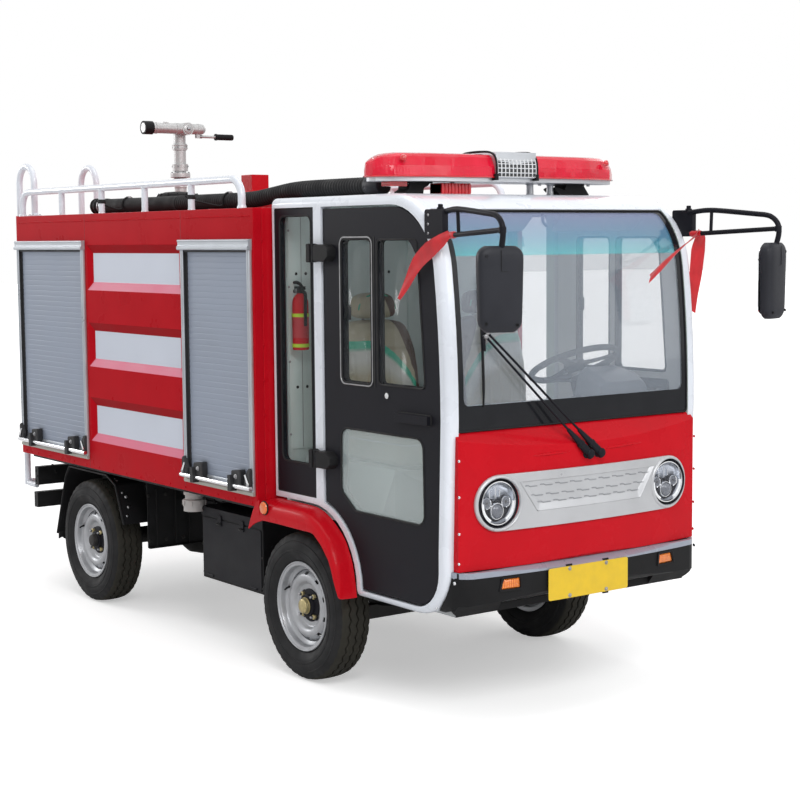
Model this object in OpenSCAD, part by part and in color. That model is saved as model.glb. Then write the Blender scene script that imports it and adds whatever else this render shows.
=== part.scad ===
// Small electric water tanker fire truck.
// Millimetres. +X is forward, +Y is the truck's left side, +Z is up.
// The origin is on the ground, under the middle of the overall box.
// Every module is drawn from the front axle and moved to the origin at the end.

/* [Running gear] */
// Distance between the two axles
wheelbase = 1880; // [1840:10:1920]
// Distance between the middles of the two tyres of an axle
track = 1160; // [1150:2:1170]
// Outer diameter of a tyre
tyre_d = 592; // [584:2:600]
// Width of a tyre at its widest
tyre_w = 165; // [150:1:172]
// Diameter over the flanges of a rim
rim_d = 358; // [350:2:364]

/* [Cab] */
// Width over the cab's side frames
cab_w = 1240; // [1210:5:1260]
// Height of the cab roof above the ground
cab_top = 1908; // [1890:2:1920]
// Rounding of the side frames' outer edge
side_round = 30; // [16:1:34]
// Gap all round a door
door_gap = 8; // [7:1:11]

/* [Body] */
// Width over the body's side panels
box_w = 1400; // [1390:5:1420]
// Rear face of the body, measured behind the front axle
box_rear = 2530; // [2500:5:2560]
// Height of the deck on top of the body
box_top = 1872; // [1866:2:1880]
// Thickness of the body's panels
panel_t = 40; // [36:1:44]
// Number of slats in a roller shutter
slat_count = 27; // [20:1:34]

/* [Roof gear] */
// Height of the deck rails' tube above the deck
rail_rise = 118; // [100:2:130]
// Diameter of the rail and ladder tubes
tube_d = 32; // [26:1:34]
// Number of rungs on the ladder
rung_count = 5; // [4:1:6]
// Length of the light bar
bar_l = 1218; // [1100:2:1230]
// Length of the monitor's barrel
barrel_l = 290; // [260:5:320]

/* [Hidden] */
$fn = 64;

// Running gear heights and places
az = tyre_d / 2;
rear_x = -wheelbase;
kingpin_y = track / 2 - 90;
arm_x = -130;
arm_y = kingpin_y;
rail_y0 = 240;
rail_y1 = 300;
rail_low = az + 29;
foot_z = 398;
rail_high0 = 480;
rail_high1 = 590;

// Cab side frames, as seen from the side
half_w = cab_w / 2;
side_t = 50;
in_y = half_w - side_t;
cab_front = 919;
cab_back = -215;
top_r = 302;
top_cx = cab_front - 334;
top_cz = cab_top - top_r;
lean = 7.3;
big_r = 4256;
big_cx = cab_front - big_r;
big_cz = top_cz + (top_r - big_r) * sin(lean);
arch_cx = 55;
arch_cz = 415;
arch_r = 298;
sill_z = 390;

// Body
half_b = box_w / 2;
box_x0 = -box_rear;
box_x1 = -230;
skirt_z = 670;
floor_z0 = 650;
shut_z0 = 714;
shut_z1 = 1743;
rear_shut_y0 = half_b - 450;
rear_shut_y1 = half_b - 90;

ladder_y = [-half_b + 55, -half_b + 398];

// Monitor
mon_x = -2080;
post_top = box_top + 213;
mon_z = post_top + 218;
mon_off = 66;

// Hinge line of a door, on the right side
hinge_x = 118;
hinge_y = -half_w - 20;
hinge_z = [897, 1692];

// Steering column
wheel_c = [560, 300, 1235];
wheel_tilt = 25;

// Places the finished part with the middle of its box at the origin
mirror_front = 1306.5;
shift_x = (box_rear + 70 + tube_d / 2 - mirror_front) / 2;

function arc(cx, cz, r, a0, a1, n) =
  [for (i = [0:n]) let(a = a0 + (a1 - a0) * i / n) [cx + r * cos(a), cz + r * sin(a)]];

function bend(a, b, c, r, n) =
  let(u = (a - b) / norm(a - b), v = (c - b) / norm(c - b), h = acos(u * v) / 2,
      o = b + (u + v) / norm(u + v) * r / sin(h), p = b + u * r / tan(h), q = b + v * r / tan(h),
      a0 = atan2(p[1] - o[1], p[0] - o[0]), a1 = atan2(q[1] - o[1], q[0] - o[0]),
      d = (a1 - a0 + 540) % 360 - 180)
  [for (i = [0:n]) o + r * [cos(a0 + d * i / n), sin(a0 + d * i / n)]];

function rounded(p, r, n = 4) = let(m = len(p))
  [for (i = [0:m - 1]) each bend(p[(i + m - 1) % m], p[i], p[(i + 1) % m], r, n)];

function rect(x0, y0, x1, y1) = [[x0, y0], [x1, y0], [x1, y1], [x0, y1]];

// Outline of a cab side, its top, front and bottom drawn in by i
function side_outline(i) = concat(
  [[cab_back, cab_top - i]],
  [[cab_back, arch_cz + arch_r]],
  arc(arch_cx, arch_cz, arch_r, 90, asin((sill_z + i - arch_cz) / arch_r), 10),
  arc(cab_front - 201, sill_z + 185, 185 - i, -90, 0, 8),
  [[cab_front - 16 - i, 620]],
  arc(big_cx, big_cz, big_r - i, 0, lean, 5),
  arc(top_cx, top_cz, top_r - i, lean + 6, 90, 9));

// Outline of a doorway, drawn out by o
function door_outline(o) = concat(
  [[133 - o, cab_top - 40 + o]],
  arc(arch_cx, arch_cz, 322 - o, acos((78 - o) / (322 - o)), asin((3 - o) / (322 - o)), 9),
  arc(cab_front - 196, 558, 140 + o, -90, 0, 7),
  [[cab_front - 56 + o, 620]],
  arc(big_cx, big_cz, big_r - 40 + o, 0, lean, 5),
  arc(top_cx, top_cz, top_r - 40 + o, lean + 6, 90, 9));

// Front wheel flare: the wheel's arch, the flare's outer edge and its depth
flare_in = 348;
flare_out = 306;
flare_t = 72;
flare_round = 24;

// Section of the flare's outer edge, as radius and depth, drawn in by i
function flare_edge(i) = concat([[0, 0], [flare_out - i, 0]],
  arc(flare_out - flare_round, flare_t - flare_round, flare_round - i, 0, 90, 5), [[0, flare_t - i]]);

lower_window = [[251, 1030], [769, 1030], [775, 716], [342, 717], [246, 785]];

module along_y(y0, y1) translate([0, y1, 0]) rotate([90, 0, 0]) linear_extrude(y1 - y0) children();
module along_x(x0, x1) translate([x0, 0, 0]) rotate([90, 0, 90]) linear_extrude(x1 - x0) children();
module pair() {
  children();
  mirror([0, 1, 0]) children();
}
module block(x0, x1, y0, y1, z0, z1) translate([x0, y0, z0]) cube([x1 - x0, y1 - y0, z1 - z0]);
module rod_x(y, z, r, x0, x1) translate([x0, y, z]) rotate([0, 90, 0]) cylinder(h = x1 - x0, r = r);
module rod_y(x, z, r, y0, y1) translate([x, y0, z]) rotate([-90, 0, 0]) cylinder(h = y1 - y0, r = r);
module rod_z(x, y, r, z0, z1) translate([x, y, z0]) cylinder(h = z1 - z0, r = r);

// A round bar from point a to point b
module bar(a, b, r) {
  d = b - a;
  translate(a)
    rotate([0, acos(d[2] / norm(d)), atan2(d[1], d[0])])
      cylinder(h = norm(d), r = r);
}

// A closed skin over rings of points that all have the same length
module skin(rings) {
  n = len(rings[0]);
  m = len(rings);
  polyhedron(
    points = [for (r = rings) each r],
    faces = concat(
      [[for (i = [0:n - 1]) i]],
      [for (k = [0:m - 2]) for (i = [0:n - 1]) each [
        [k * n + i, (k + 1) * n + i, k * n + (i + 1) % n],
        [k * n + (i + 1) % n, (k + 1) * n + i, (k + 1) * n + (i + 1) % n]]],
      [[for (i = [n - 1:-1:0]) (m - 1) * n + i]]));
}

// Rings of a panel that is rounded with radius r towards its outer face at -y1
function round_rings(o, y0, y1, r, n) = concat(
  [[for (p = o[0]) [p[0], -y0, p[1]]]],
  [for (k = [0:n]) [for (p = o[k]) [p[0], -y1 + r - r * sin(90 * k / n), p[1]]]]);

module chassis_frame() color("dimgray") difference() {
  union() {
    pair() {
      block(-420, 490, rail_y0, rail_y1, rail_low, foot_z);
      block(-420, -300, rail_y0, rail_y1, rail_low, rail_high1);
      block(-2451, -300, rail_y0, rail_y1, rail_high0, rail_high1);
      block(rear_x + 378, rear_x + 424, 250, 300, 466, rail_high0 + 1);
      block(rear_x - 424, rear_x - 378, 250, 300, 466, rail_high0 + 1);
      block(-2490, -2450, 250, 290, 467, 506);
    }
    block(430, 480, -241, 241, rail_low + 8, foot_z - 8);
    block(-360, -320, -241, 241, 410, 560);
    block(-1300, -1260, -241, 241, 490, 580);
    block(-2440, -2400, -241, 241, 490, 580);
    for (x = [-2380, -1440, -920, -330])
      block(x - 30, x + 30, -half_b + 220, half_b - 220, rail_high1 - 1, floor_z0);
    block(-2490, -2450, -half_b + 45, half_b - 45, 505, 598);
    block(-2490, -2450, -half_b + 38, half_b - 38, 390, 468);
    block(-2560, -2489, -10, 10, 400, 458);
    rod_y(-2560, 429, 29, -10, 10);
  }
  rod_y(-2560, 429, 15, -20, 20);
  for (y = [-60, 60])
    for (z = [526, 576])
      rod_x(y, z, 6.5, -2500, -2440);
}

module front_axle() color("dimgray") {
  along_x(-28, 28) polygon([
    [-kingpin_y + 15, az - 30], [-kingpin_y + 60, az - 30], [-kingpin_y + 105, az - 91],
    [kingpin_y - 105, az - 91], [kingpin_y - 60, az - 30], [kingpin_y - 15, az - 30],
    [kingpin_y - 15, az + 30], [kingpin_y - 40, az + 30], [kingpin_y - 100, az - 34],
    [-kingpin_y + 100, az - 34], [-kingpin_y + 40, az + 30], [-kingpin_y + 15, az + 30]]);
  pair() {
    rod_z(0, kingpin_y, 24, az - 30, az + 30);
    rod_z(0, kingpin_y, 11, az - 70, az + 70);
  }
}

module rear_axle() color("dimgray") {
  rod_y(rear_x, az, 40, -kingpin_y - 30, kingpin_y + 30);
  rod_y(rear_x, az, 18, -kingpin_y - 118, kingpin_y + 118);
  translate([rear_x, 0, az]) sphere(r = 112);
  rod_x(0, az + 10, 100, rear_x + 40, rear_x + 430);
  pair() block(rear_x - 50, rear_x + 50, 250, 300, az, az + 49);
}

module leaf_springs() color("dimgray") pair() {
  along_y(250, 300) translate([rear_x, az - 296]) polygon([
    [-424, 446], [-424, 466 - az + 296], [-380, 466 - az + 296], [-200, 405], [-60, 385], [60, 385],
    [200, 405], [380, 466 - az + 296], [424, 466 - az + 296], [424, 446], [380, 440], [200, 372],
    [60, 345], [-60, 345], [-200, 372], [-380, 440]]);
  along_y(250, 300) translate([0, az - 296]) polygon([
    [-400, 304], [-400, 325], [-360, 325], [-200, 305], [-60, 298], [60, 298], [200, 305], [360, 325],
    [400, 325], [400, 304], [360, 300], [200, 283], [60, 262], [-60, 262], [-200, 283], [-360, 300]]);
}

module battery_boxes() color("#222222") pair() block(-860, -355, rail_y1, 600, 275, 585);

module rear_mudguards() color("#1c1c1c") pair() {
  along_y(half_b - 200, half_b - 48) translate([rear_x, az]) polygon([
    [-365, -11], [-250, 290], [-205, 344], [200, 344], [290, 305], [368, 127],
    [361, 125], [285, 299], [197, 337], [-202, 337], [-244, 287], [-359, -13]]);
  block(rear_x - 120, rear_x + 150, half_b - 180, half_b - 130, 639, floor_z0);
}

module outlet_pipe() color("silver") difference() {
  union() {
    rod_z(-892, -half_b + 80, 24, 566, floor_z0);
    rod_z(-892, -half_b + 80, 36, 636, floor_z0);
    rod_z(-892, -half_b + 80, 29, 566, 590);
  }
  rod_z(-892, -half_b + 80, 18, 560, 640);
}

module cab_floor() color("gainsboro") difference() {
  union() {
    along_y(-in_y, in_y) polygon([
      [895, foot_z], [895, foot_z + 30], [385, foot_z + 30], [372, 680], [cab_back, 680],
      [cab_back, 650], [345, 650], [358, foot_z]]);
    block(-150, 470, -520, 520, 679, 880);
    block(371, 470, -520, 520, foot_z + 29, 880);
  }
  block(-160, 448, -498, 498, 680, 858);
}

module cab_rear_wall() color("white") block(cab_back, cab_back + 25, -in_y, in_y, 680, cab_top - 30);

module cab_roof() color("white") along_y(-in_y, in_y) polygon(concat(
  [[cab_back, cab_top]],
  arc(top_cx, top_cz, top_r, 90, 54, 8),
  arc(top_cx, top_cz, top_r - 30, 54, 90, 8),
  [[cab_back, cab_top - 30]]));

module side_frame() difference() {
  skin(round_rings([for (k = [0:5]) side_outline(side_round * (1 - cos(90 * k / 5)))],
    in_y - 40, half_w, side_round, 5));
  block(-1000, 1500, -in_y, -in_y + 100, 0, 2500);
  along_y(-half_w - 20, -in_y + 20) polygon(door_outline(0));
  along_y(-half_w - 20, -in_y + 20) polygon(rect(-202, 736, 81, cab_top - 40));
}

module cab_sides() color("white") pair() side_frame();

module hinge_leaf(z) {
  block(84, 100, -half_w - 32, -half_w, z - 34, z + 34);
  for (s = [-1, 1]) {
    block(99, hinge_x, hinge_y - 7, hinge_y + 7, z + s * 23.25 - 10.75, z + s * 23.25 + 10.75);
    rod_z(hinge_x, hinge_y, 13, z + s * 23.25 - 10.75, z + s * 23.25 + 10.75);
  }
  rod_z(hinge_x, hinge_y, 6, z - 34, z + 34);
}

module door_hinges() color("#1c1c1c") pair() for (z = hinge_z) hinge_leaf(z);

// A bowed slab between two heights and widths; its front is part of a tall drum
module bowed(front, r, half, profile) intersection() {
  translate([front - r, 0, 300]) cylinder(h = 900, r = r, $fn = 360);
  along_y(-half, half) polygon(profile);
}

module front_panel() color("red") difference() {
  bowed(975, 3990, 585, [[895, 568], [966, 568], [990, 594], [990, 978], [908, 1060.7], [895, 1060.7]]);
  pair() along_y(in_y - 0.3, in_y + 200) polygon(side_outline(-1));
  pair() rod_x(421, 804, 89.3, 850, 1050);
}

module front_bumper() color("#1c1c1c") difference() {
  intersection() {
    union() {
      bowed(1003, 3712, 600, [[925, 446], [952, 446], [976, 452], [994, 468], [1004, 492], [1010, 530],
        [1010, 546], [972, 565], [925, 565]]);
      pair() along_y(in_y + 1, 600) polygon([[781, 408], [846, 411], [890, 424], [930, 446], [930, 548], [806, 540]]);
      pair() along_y(380, 590) polygon([[895, foot_z + 2], [930, 446], [930, 480], [895, 480]]);
    }
    translate([0, 0, 300]) linear_extrude(400) polygon(rounded([[500, -600], [954.5, -600], [1028.8, -140],
      [1028.8, 140], [954.5, 600], [500, 600]], 88, 8));
    along_x(700, 1100) polygon(rounded([[-600, foot_z], [600, foot_z], [600, 900], [-600, 900]], 60, 8));
  }
  pair() along_y(in_y - 0.5, 700) polygon(side_outline(-4));
  pair() block(955, 1050, 342.7, 433.3, 493.7, 534.3);
}

module grille_outline() {
  translate([-421, 804]) circle(r = 102);
  translate([421, 804]) circle(r = 102);
  translate([-421, 702]) square([842, 204]);
}

module grille_trim() color("silver") difference() {
  intersection() {
    difference() {
      translate([975 - 3990, 0, 500]) cylinder(h = 500, r = 4000, $fn = 360);
      translate([975 - 3990, 0, 490]) cylinder(h = 520, r = 3990.3, $fn = 360);
    }
    along_x(700, 1100) grille_outline();
  }
  intersection() {
    difference() {
      translate([975 - 3990, 0, 500]) cylinder(h = 500, r = 4020, $fn = 360);
      translate([975 - 3990, 0, 490]) cylinder(h = 520, r = 3994, $fn = 360);
    }
    along_x(700, 1100) polygon([[-333, 873], [-256, 762], [256, 762], [333, 873]]);
  }
  pair() rod_x(421, 804, 89.3, 850, 1050);
}

module headlamps() color("lightgray") pair() rod_x(421, 804, 89, 905, 966);

module signal_lamps() color("orange") {
  pair() block(955, 984, 343, 433, 494, 534);
  pair() rod_y(-191, 672, 26, half_w + flare_t, half_w + flare_t + 10);
  pair() block(-2516, -2490, 500, 620, 520, 585);
  block(430, 500, -317, -178, cab_top, cab_top + 42);
}

module fixed_glass() color("#9fd0d0") {
  along_y(-in_y + 0.3, in_y - 0.3) polygon(concat(
    arc(top_cx, top_cz, top_r - 8, 53.9, lean, 8),
    arc(big_cx, big_cz, big_r - 8, lean, asin((1061 - big_cz) / (big_r - 8)), 6),
    arc(big_cx, big_cz, big_r - 14, asin((1061 - big_cz) / (big_r - 14)), lean, 6),
    arc(top_cx, top_cz, top_r - 14, lean, 53.9, 8)));
  pair() along_y(half_w - 16, half_w - 11) polygon(rounded(rect(-166.7, 864.3, 57.7, 1835.7), 30));
}

module quarter_frames() color("#1c1c1c") pair() along_y(half_w - 30, half_w - 4) difference() {
  polygon(rect(-202, 736, 81, cab_top - 40));
  polygon(rounded(rect(-167, 864, 58, 1836), 30));
}

module seats() color("burlywood") pair() {
  block(20, 520, 60, 490, 880, 1010);
  along_y(70, 480) polygon([[-140, 880], [19, 880], [80, 1010], [40, 1510], [-30, 1535], [-90, 1500]]);
}

module dashboard() color("lightgray") {
  along_y(-in_y, in_y) polygon([[720, 860], [895, 760], [895, 1058], [870, 1120], [760, 1132], [715, 1090]]);
  translate(wheel_c) rotate([0, -wheel_tilt, 0]) {
    translate([0, 0, -400]) cylinder(h = 370, r = 24);
    translate([0, 0, -40]) cylinder(h = 40, r = 9);
  }
}

module fire_extinguisher() color("red") {
  rod_z(-140, -540, 33, 1306, 1500);
  translate([-140, -540, 1500]) sphere(r = 33);
  rod_z(-140, -540, 12, 1520, 1556);
  block(-175, -105, -549, -531, 1550, 1572);
  block(-190, -140, -550, -530, 1390, 1420);
}

// Wiper blade, bent to the windscreen
module wipers() color("#1c1c1c") {
  along_y(-461, -449) polygon(concat(
    arc(big_cx, big_cz, big_r - 7.7, 0.6, 7.2, 8),
    arc(big_cx, big_cz, big_r + 10, 7.2, 0.6, 8)));
  for (y = [-15, 39])
    rod_x(y, 952, 16, 975.3, 1000);
  bar([988, -15, 952], [926, -454, 1400], 7);
  bar([988, 39, 952], [926, -450, 1410], 7);
  rod_x(-455, 1405, 9, 915, 932);
}

module mirrors() color("#1c1c1c") pair() {
  difference() {
    block(790, 905, -half_w - 4, -half_w + 42, 1743, 1846);
    along_y(-half_w - 30, -in_y + 30) polygon(side_outline(-0.4));
  }
  bar([890, -604, 1836], [1230, -662, 1822], 10);
  bar([1230, -662, 1822], [1284, -668, 1770], 10);
  translate([1230, -662, 1822]) sphere(r = 12);
  translate([1284, -668, 1770]) sphere(r = 13);
  bar([890, -602, 1752], [1284, -668, 1770], 9);
  bar([1284, -668, 1770], [1262, -664, 1690], 11);
  translate([1258, -663, 1576]) rotate([0, 0, -18])
    translate([-32, 0, -142]) linear_extrude(284) polygon(rounded(rect(0, -82, 64, 82), 28, 5));
}

module flare_front() intersection() {
  along_y(-half_w - 100, -half_w) polygon(concat(
    arc(0, az, flare_in, 15.7, acos(arch_cx / flare_in), 10),
    [[arch_cx, 800], [500, 800], [500, arch_cz - 26], [362, arch_cz - 26]]));
  translate([arch_cx, -half_w, arch_cz]) rotate([90, 0, 0]) rotate_extrude() polygon(flare_edge(0));
}

module flare_tail() intersection() {
  along_y(-half_w - 100, -half_w) polygon(concat(
    arc(0, az, flare_in + 0.5, acos((arch_cx + 5) / flare_in), 105, 6),
    [[-250, 606], [-312, 574], [-288, 603], [-262, 643], [-236, 700], [-236, 800], [arch_cx + 5, 800]]));
  translate([0, -half_w, arch_cz]) along_x(-400, arch_cx + 5)
    polygon([for (p = flare_edge(0.5)) [-p[1], p[0]]]);
}

module front_fenders() color("red") pair() difference() {
  union() {
    flare_front();
    flare_tail();
  }
  block(-500, box_x1 + 2, -half_b - 20, -500, floor_z0 - 4, 900);
}

// Plan of the light bar, drawn in by i
function bar_plan(i) = let(h = bar_l / 2 - i) [
  [320 + i, -h + 170], [350 + i, -h + 70], [395, -h + 8], [425, -h], [455, -h + 8], [508 - i, -h + 70],
  [550 - i, -h + 230], [560 - i, 0], [550 - i, h - 230], [508 - i, h - 70], [455, h - 8], [425, h],
  [395, h - 8], [350 + i, h - 70], [320 + i, h - 170]];

module light_bar_base() color("silver") {
  translate([0, 0, cab_top + 48]) linear_extrude(16) polygon(bar_plan(14));
  pair() block(390, 450, 372, 432, cab_top, cab_top + 49);
  intersection() {
    translate([0, 0, cab_top + 63]) linear_extrude(98) polygon(bar_plan(0));
    block(200, 700, -100, 100, 1900, 2200);
  }
}

module light_bar_lenses() color("red") difference() {
  intersection() {
    translate([0, 0, cab_top + 64]) linear_extrude(90) polygon(bar_plan(4));
    along_x(200, 700) polygon(rounded([[-bar_l / 2, cab_top + 64], [bar_l / 2, cab_top + 64],
      [bar_l / 2, cab_top + 154], [-bar_l / 2, cab_top + 154]], 40, 6));
    along_y(-900, 900) polygon(rounded(rect(318, cab_top + 64, 562, cab_top + 154), 36, 6));
  }
  block(200, 700, -100.3, 100.3, 1900, 2200);
}

// One recess of the body side, with bevelled edges
module recess(z0, z1) intersection() {
  along_x(-1900, -600) polygon([[-half_b - 10, z0 - 25], [-half_b - 10, z1 + 25],
    [-half_b + 15, z1 - 38], [-half_b + 15, z0 + 38]]);
  translate([0, 0, 700]) linear_extrude(1100) polygon([[-1754, -half_b - 10], [-802, -half_b - 10],
    [-865, -half_b + 15], [-1691, -half_b + 15]]);
}

module box_sides() color("red") pair() difference() {
  block(box_x0, box_x1, -half_b, -half_b + panel_t, skirt_z, box_top);
  block(-2514, -1756, -half_b - 10, -half_b + 100, shut_z0, shut_z1);
  block(-815, -246, -half_b - 10, -half_b + 100, shut_z0, shut_z1);
  recess(1516, 1727);
  recess(1157, 1364);
  recess(804, 1012);
}

module box_ends() color("red") {
  difference() {
    block(box_x0, box_x0 + panel_t, -half_b + panel_t, half_b - panel_t, skirt_z, box_top);
    block(box_x0 - 10, box_x0 + 60, -rear_shut_y0, rear_shut_y1, shut_z0, shut_z1);
  }
  block(box_x1 - panel_t, box_x1, -half_b + panel_t, half_b - panel_t, skirt_z, box_top);
}

module box_deck() color("firebrick")
  block(box_x0 + panel_t, box_x1 - panel_t, -half_b + panel_t, half_b - panel_t, box_top - 30, box_top);

module box_floor() color("firebrick")
  block(box_x0 + panel_t, box_x1 - panel_t, -half_b + panel_t, half_b - panel_t, floor_z0, 690);

// Shutters are drawn with their outer face towards -Y, from x = 0 to w and from z = 0 to h
shut_h = shut_z1 - shut_z0;
module frame_of(w) difference() {
  union() {
    block(0, w, -8, 30, 0, shut_h);
    block(0, w, -16, 0, shut_h - 36, shut_h);
  }
  block(26, w - 26, -50, 60, 18, shut_h - 36);
}

module curtain_of(w) {
  h = shut_h - 54;
  p = h / slat_count;
  translate([26, 0, 18]) rotate([90, 0, 90]) linear_extrude(w - 52) polygon(concat(
    [[20, h], [20, 0]],
    [for (i = [0:slat_count - 1]) each [[10, i * p], [6, i * p + 3], [6, i * p + p - 3], [10, i * p + p]]]));
}

module bar_of(w) {
  rod_x(-22, 44, 11, 34, w - 34);
  for (x = [w * 0.27, w * 0.73])
    block(x - 34, x + 34, -36, 6, 24, 72);
  for (x = [34, w - 54])
    block(x, x + 20, -34, 6, 30, 58);
}

module each_shutter() {
  pair() translate([-2514, -half_b, shut_z0]) children(0);
  pair() translate([-815, -half_b, shut_z0]) children(1);
  translate([box_x0, rear_shut_y1, shut_z0]) rotate([0, 0, -90]) children(2);
}

module shutter_frames() color("silver") each_shutter() {
  frame_of(758);
  frame_of(569);
  frame_of(rear_shut_y0 + rear_shut_y1);
}

module shutter_curtains() color("silver") each_shutter() {
  curtain_of(758);
  curtain_of(569);
  curtain_of(rear_shut_y0 + rear_shut_y1);
}

module shutter_bars() color("gray") each_shutter() {
  bar_of(758);
  bar_of(569);
  bar_of(rear_shut_y0 + rear_shut_y1);
}

module water_tank() color("white") block(-1720, -840, -half_b + 100, half_b - 100, 690, 1700);

module roof_rails() color("white") pair() {
  z = box_top + rail_rise;
  r = tube_d / 2;
  y = -half_b + 20;
  rod_x(y, z, r, -2413, -421);
  rod_z(-2488, y, r, box_top, z - 75);
  rod_z(-346, y, r, box_top, z - 75);
  translate([-2413, y, z - 75]) rotate([90, 0, 0]) rotate([0, 0, 90])
    rotate_extrude(angle = 90) translate([75, 0]) circle(r = r);
  translate([-421, y, z - 75]) rotate([90, 0, 0])
    rotate_extrude(angle = 90) translate([75, 0]) circle(r = r);
  for (x = [-2029, -1601, -1177, -758])
    rod_z(x, y, r * 0.7, box_top, z);
}

module ladder() color("white") {
  r = tube_d / 2;
  x = box_x0 - 70;
  for (y = ladder_y) {
    rod_z(x, y, r, 492, 2033);
    rod_z(x + 178, y, r, box_top, 2033);
    translate([x + 89, y, 2033]) rotate([90, 0, 0]) rotate_extrude(angle = 180) translate([89, 0]) circle(r = r);
    for (z = [900, 1600])
      rod_x(y, z, 10, x, box_x0);
  }
  for (i = [0:rung_count - 1])
    rod_y(x, 508 + i * 1160 / (rung_count - 1), 12, ladder_y[0], ladder_y[1]);
}

hose = [[-1900, -half_b + 140, 1910.5], [-560, -half_b + 213, 1910.5],
  [-262, -half_b + 229, 1947], [300, -half_b + 260, 1947]];
module suction_hose() color("#1c1c1c") translate([0, 0, box_top - 1872]) {
  lap = (hose[2] - hose[1]) / norm(hose[2] - hose[1]) * 14;
  bar(hose[0], hose[1], 33);
  bar(hose[1] - lap, hose[2] + lap, 32.4);
  bar(hose[2], hose[3], 33);
  bar(hose[0], hose[0] + [140, 7.6, 0], 38);
  bar(hose[3] - [90, 5, 0], hose[3], 38);
}

module deck_hatch() color("red") {
  block(-1150, -700, -200, 250, box_top, box_top + 85);
  block(-1150, -1055, -200, -110, box_top + 80, box_top + 167);
}

module monitor_post() color("silver") {
  rod_z(mon_x, 0, 78, box_top, box_top + 14);
  rod_z(mon_x, 0, 30, box_top + 8, post_top - 5);
  rod_z(mon_x, 0, 50, post_top - 23, post_top);
  rod_z(mon_x, 0, 20, post_top - 5, post_top + 43);
}

module monitor_head() color("silver") difference() {
  union() {
    rod_z(mon_x, 0, 30, post_top + 1, mon_z + 7);
    rod_z(mon_x, 0, 39, post_top + 10, post_top + 45);
    rod_z(mon_x, 0, 36, post_top + 115, post_top + 147);
    rod_z(mon_x, 0, 33, mon_z - 26, mon_z + 28);
    rod_x(0, mon_z, 24, mon_x, mon_x + 38);
    rod_x(0, mon_z, 14, mon_x + 30, mon_x + mon_off + 30);
  }
  rod_z(mon_x, 0, 20.05, post_top - 35, post_top + 47);
}

module monitor_barrel() color("silver") {
  bx = mon_x + mon_off;
  difference() {
    union() {
      rod_y(bx, mon_z, 26, -barrel_l + 90, 84);
      translate([bx, 84, mon_z]) sphere(r = 26);
      rod_x(0, mon_z, 31, bx - 26, bx + 26);
      rod_y(bx, mon_z, 33, -barrel_l + 50, -barrel_l + 98);
    }
    rod_x(0, mon_z, 14.05, bx - 60, bx + 60);
    rod_y(bx, mon_z, 19, -barrel_l, -barrel_l + 110);
  }
  block(bx - 8, bx + 8, 56, 76, mon_z - 44, mon_z - 20);
  rod_y(bx, mon_z - 36, 7, 60, 262);
  rod_y(bx, mon_z - 36, 14, 170, 270);
}

// Steering knuckle of the right side; the left one is its mirror image
module knuckle() {
  difference() {
    union() {
      for (s = [-1, 1])
        translate([0, -kingpin_y, az + s * 45 - 13]) cylinder(h = 26, r = 25);
      block(-25, 25, -kingpin_y - 48, -kingpin_y - 30, az - 58, az + 58);
      for (s = [-1, 1])
        block(-25, 25, -kingpin_y - 40, -kingpin_y, az + s * 45 - 13, az + s * 45 + 13);
      rod_y(0, az, 18, -kingpin_y - 118, -kingpin_y - 40);
      translate([0, 0, az - 58]) linear_extrude(22) polygon([
        [0, -kingpin_y - 22], [12, -kingpin_y + 12], [arm_x + 4, -arm_y + 15], [arm_x - 4, -arm_y - 14]]);
      rod_z(arm_x, -arm_y, 17, az - 58, az - 36);
    }
    rod_z(0, -kingpin_y, 11.05, az - 100, az + 100);
    rod_z(arm_x, -arm_y, 8.05, az - 100, az);
  }
}

module knuckle_right() color("dimgray") knuckle();
module knuckle_left() color("dimgray") mirror([0, 1, 0]) knuckle();

module tie_rod() color("dimgray") {
  rod_y(arm_x, az - 76, 10, -arm_y, arm_y);
  pair() {
    rod_z(arm_x, arm_y, 16, az - 88, az - 64);
    rod_z(arm_x, arm_y, 8, az - 80, az - 36);
  }
}

// Wheels are turned about their own axle, with the outer face towards +Y, then placed
module tyre() {
  r = tyre_d / 2;
  w = tyre_w / 2;
  b = rim_d / 2 - 13;
  rotate([90, 0, 0]) rotate_extrude($fn = 128) polygon([
    [b + 0.3, -55], [b + 18, -59], [b + 40, -w + 4], [b + 68, -w], [r - 34, -w + 6], [r - 12, -w + 16],
    [r - 3, -w + 26], [r, -40], [r, 40], [r - 3, w - 26], [r - 12, w - 16], [r - 34, w - 6],
    [b + 68, w], [b + 40, w - 4], [b + 18, 59], [b + 0.3, 55],
    [b + 0.3, 36], [b + 30, w - 24], [r - 50, w - 18], [r - 20, w - 36], [r - 20, 36 - w],
    [r - 50, 18 - w], [b + 30, 24 - w], [b + 0.3, -36]]);
}

module rim() {
  f = rim_d / 2;
  b = f - 13;
  difference() {
    union() {
      rotate([-90, 0, 0]) rotate_extrude($fn = 128) polygon([
        [f, 65], [f - 2, 59], [b, 57], [b, 30], [b - 18, 22], [b - 18, -24], [b, -32], [b, -57],
        [f - 2, -59], [f, -65], [f - 5, -65], [b - 6, -60], [b - 6, -34], [b - 24, -26], [b - 24, 26],
        [b - 6, 34], [b - 6, 60], [f - 5, 65]]);
      rotate([-90, 0, 0]) rotate_extrude($fn = 128) polygon([
        [b - 20, 8], [132, 20], [120, 38], [104, 34], [92, 14], [25, 14], [25, 22], [76, 22], [98, 42],
        [120, 46], [138, 28], [b - 20, 20]]);
      rod_y(0, 0, 94, -18, 16);
      rod_y(0, 0, 30, 10, 62);
      for (a = [45:90:315])
        rotate([0, a, 0]) rod_y(57, 0, 11, 12, 36);
    }
    rod_y(0, 0, 18.05, -30, 50);
    for (a = [18:36:342])
      rotate([0, a, 0]) rod_y(123, 0, 9, 10, 70);
  }
}

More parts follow.
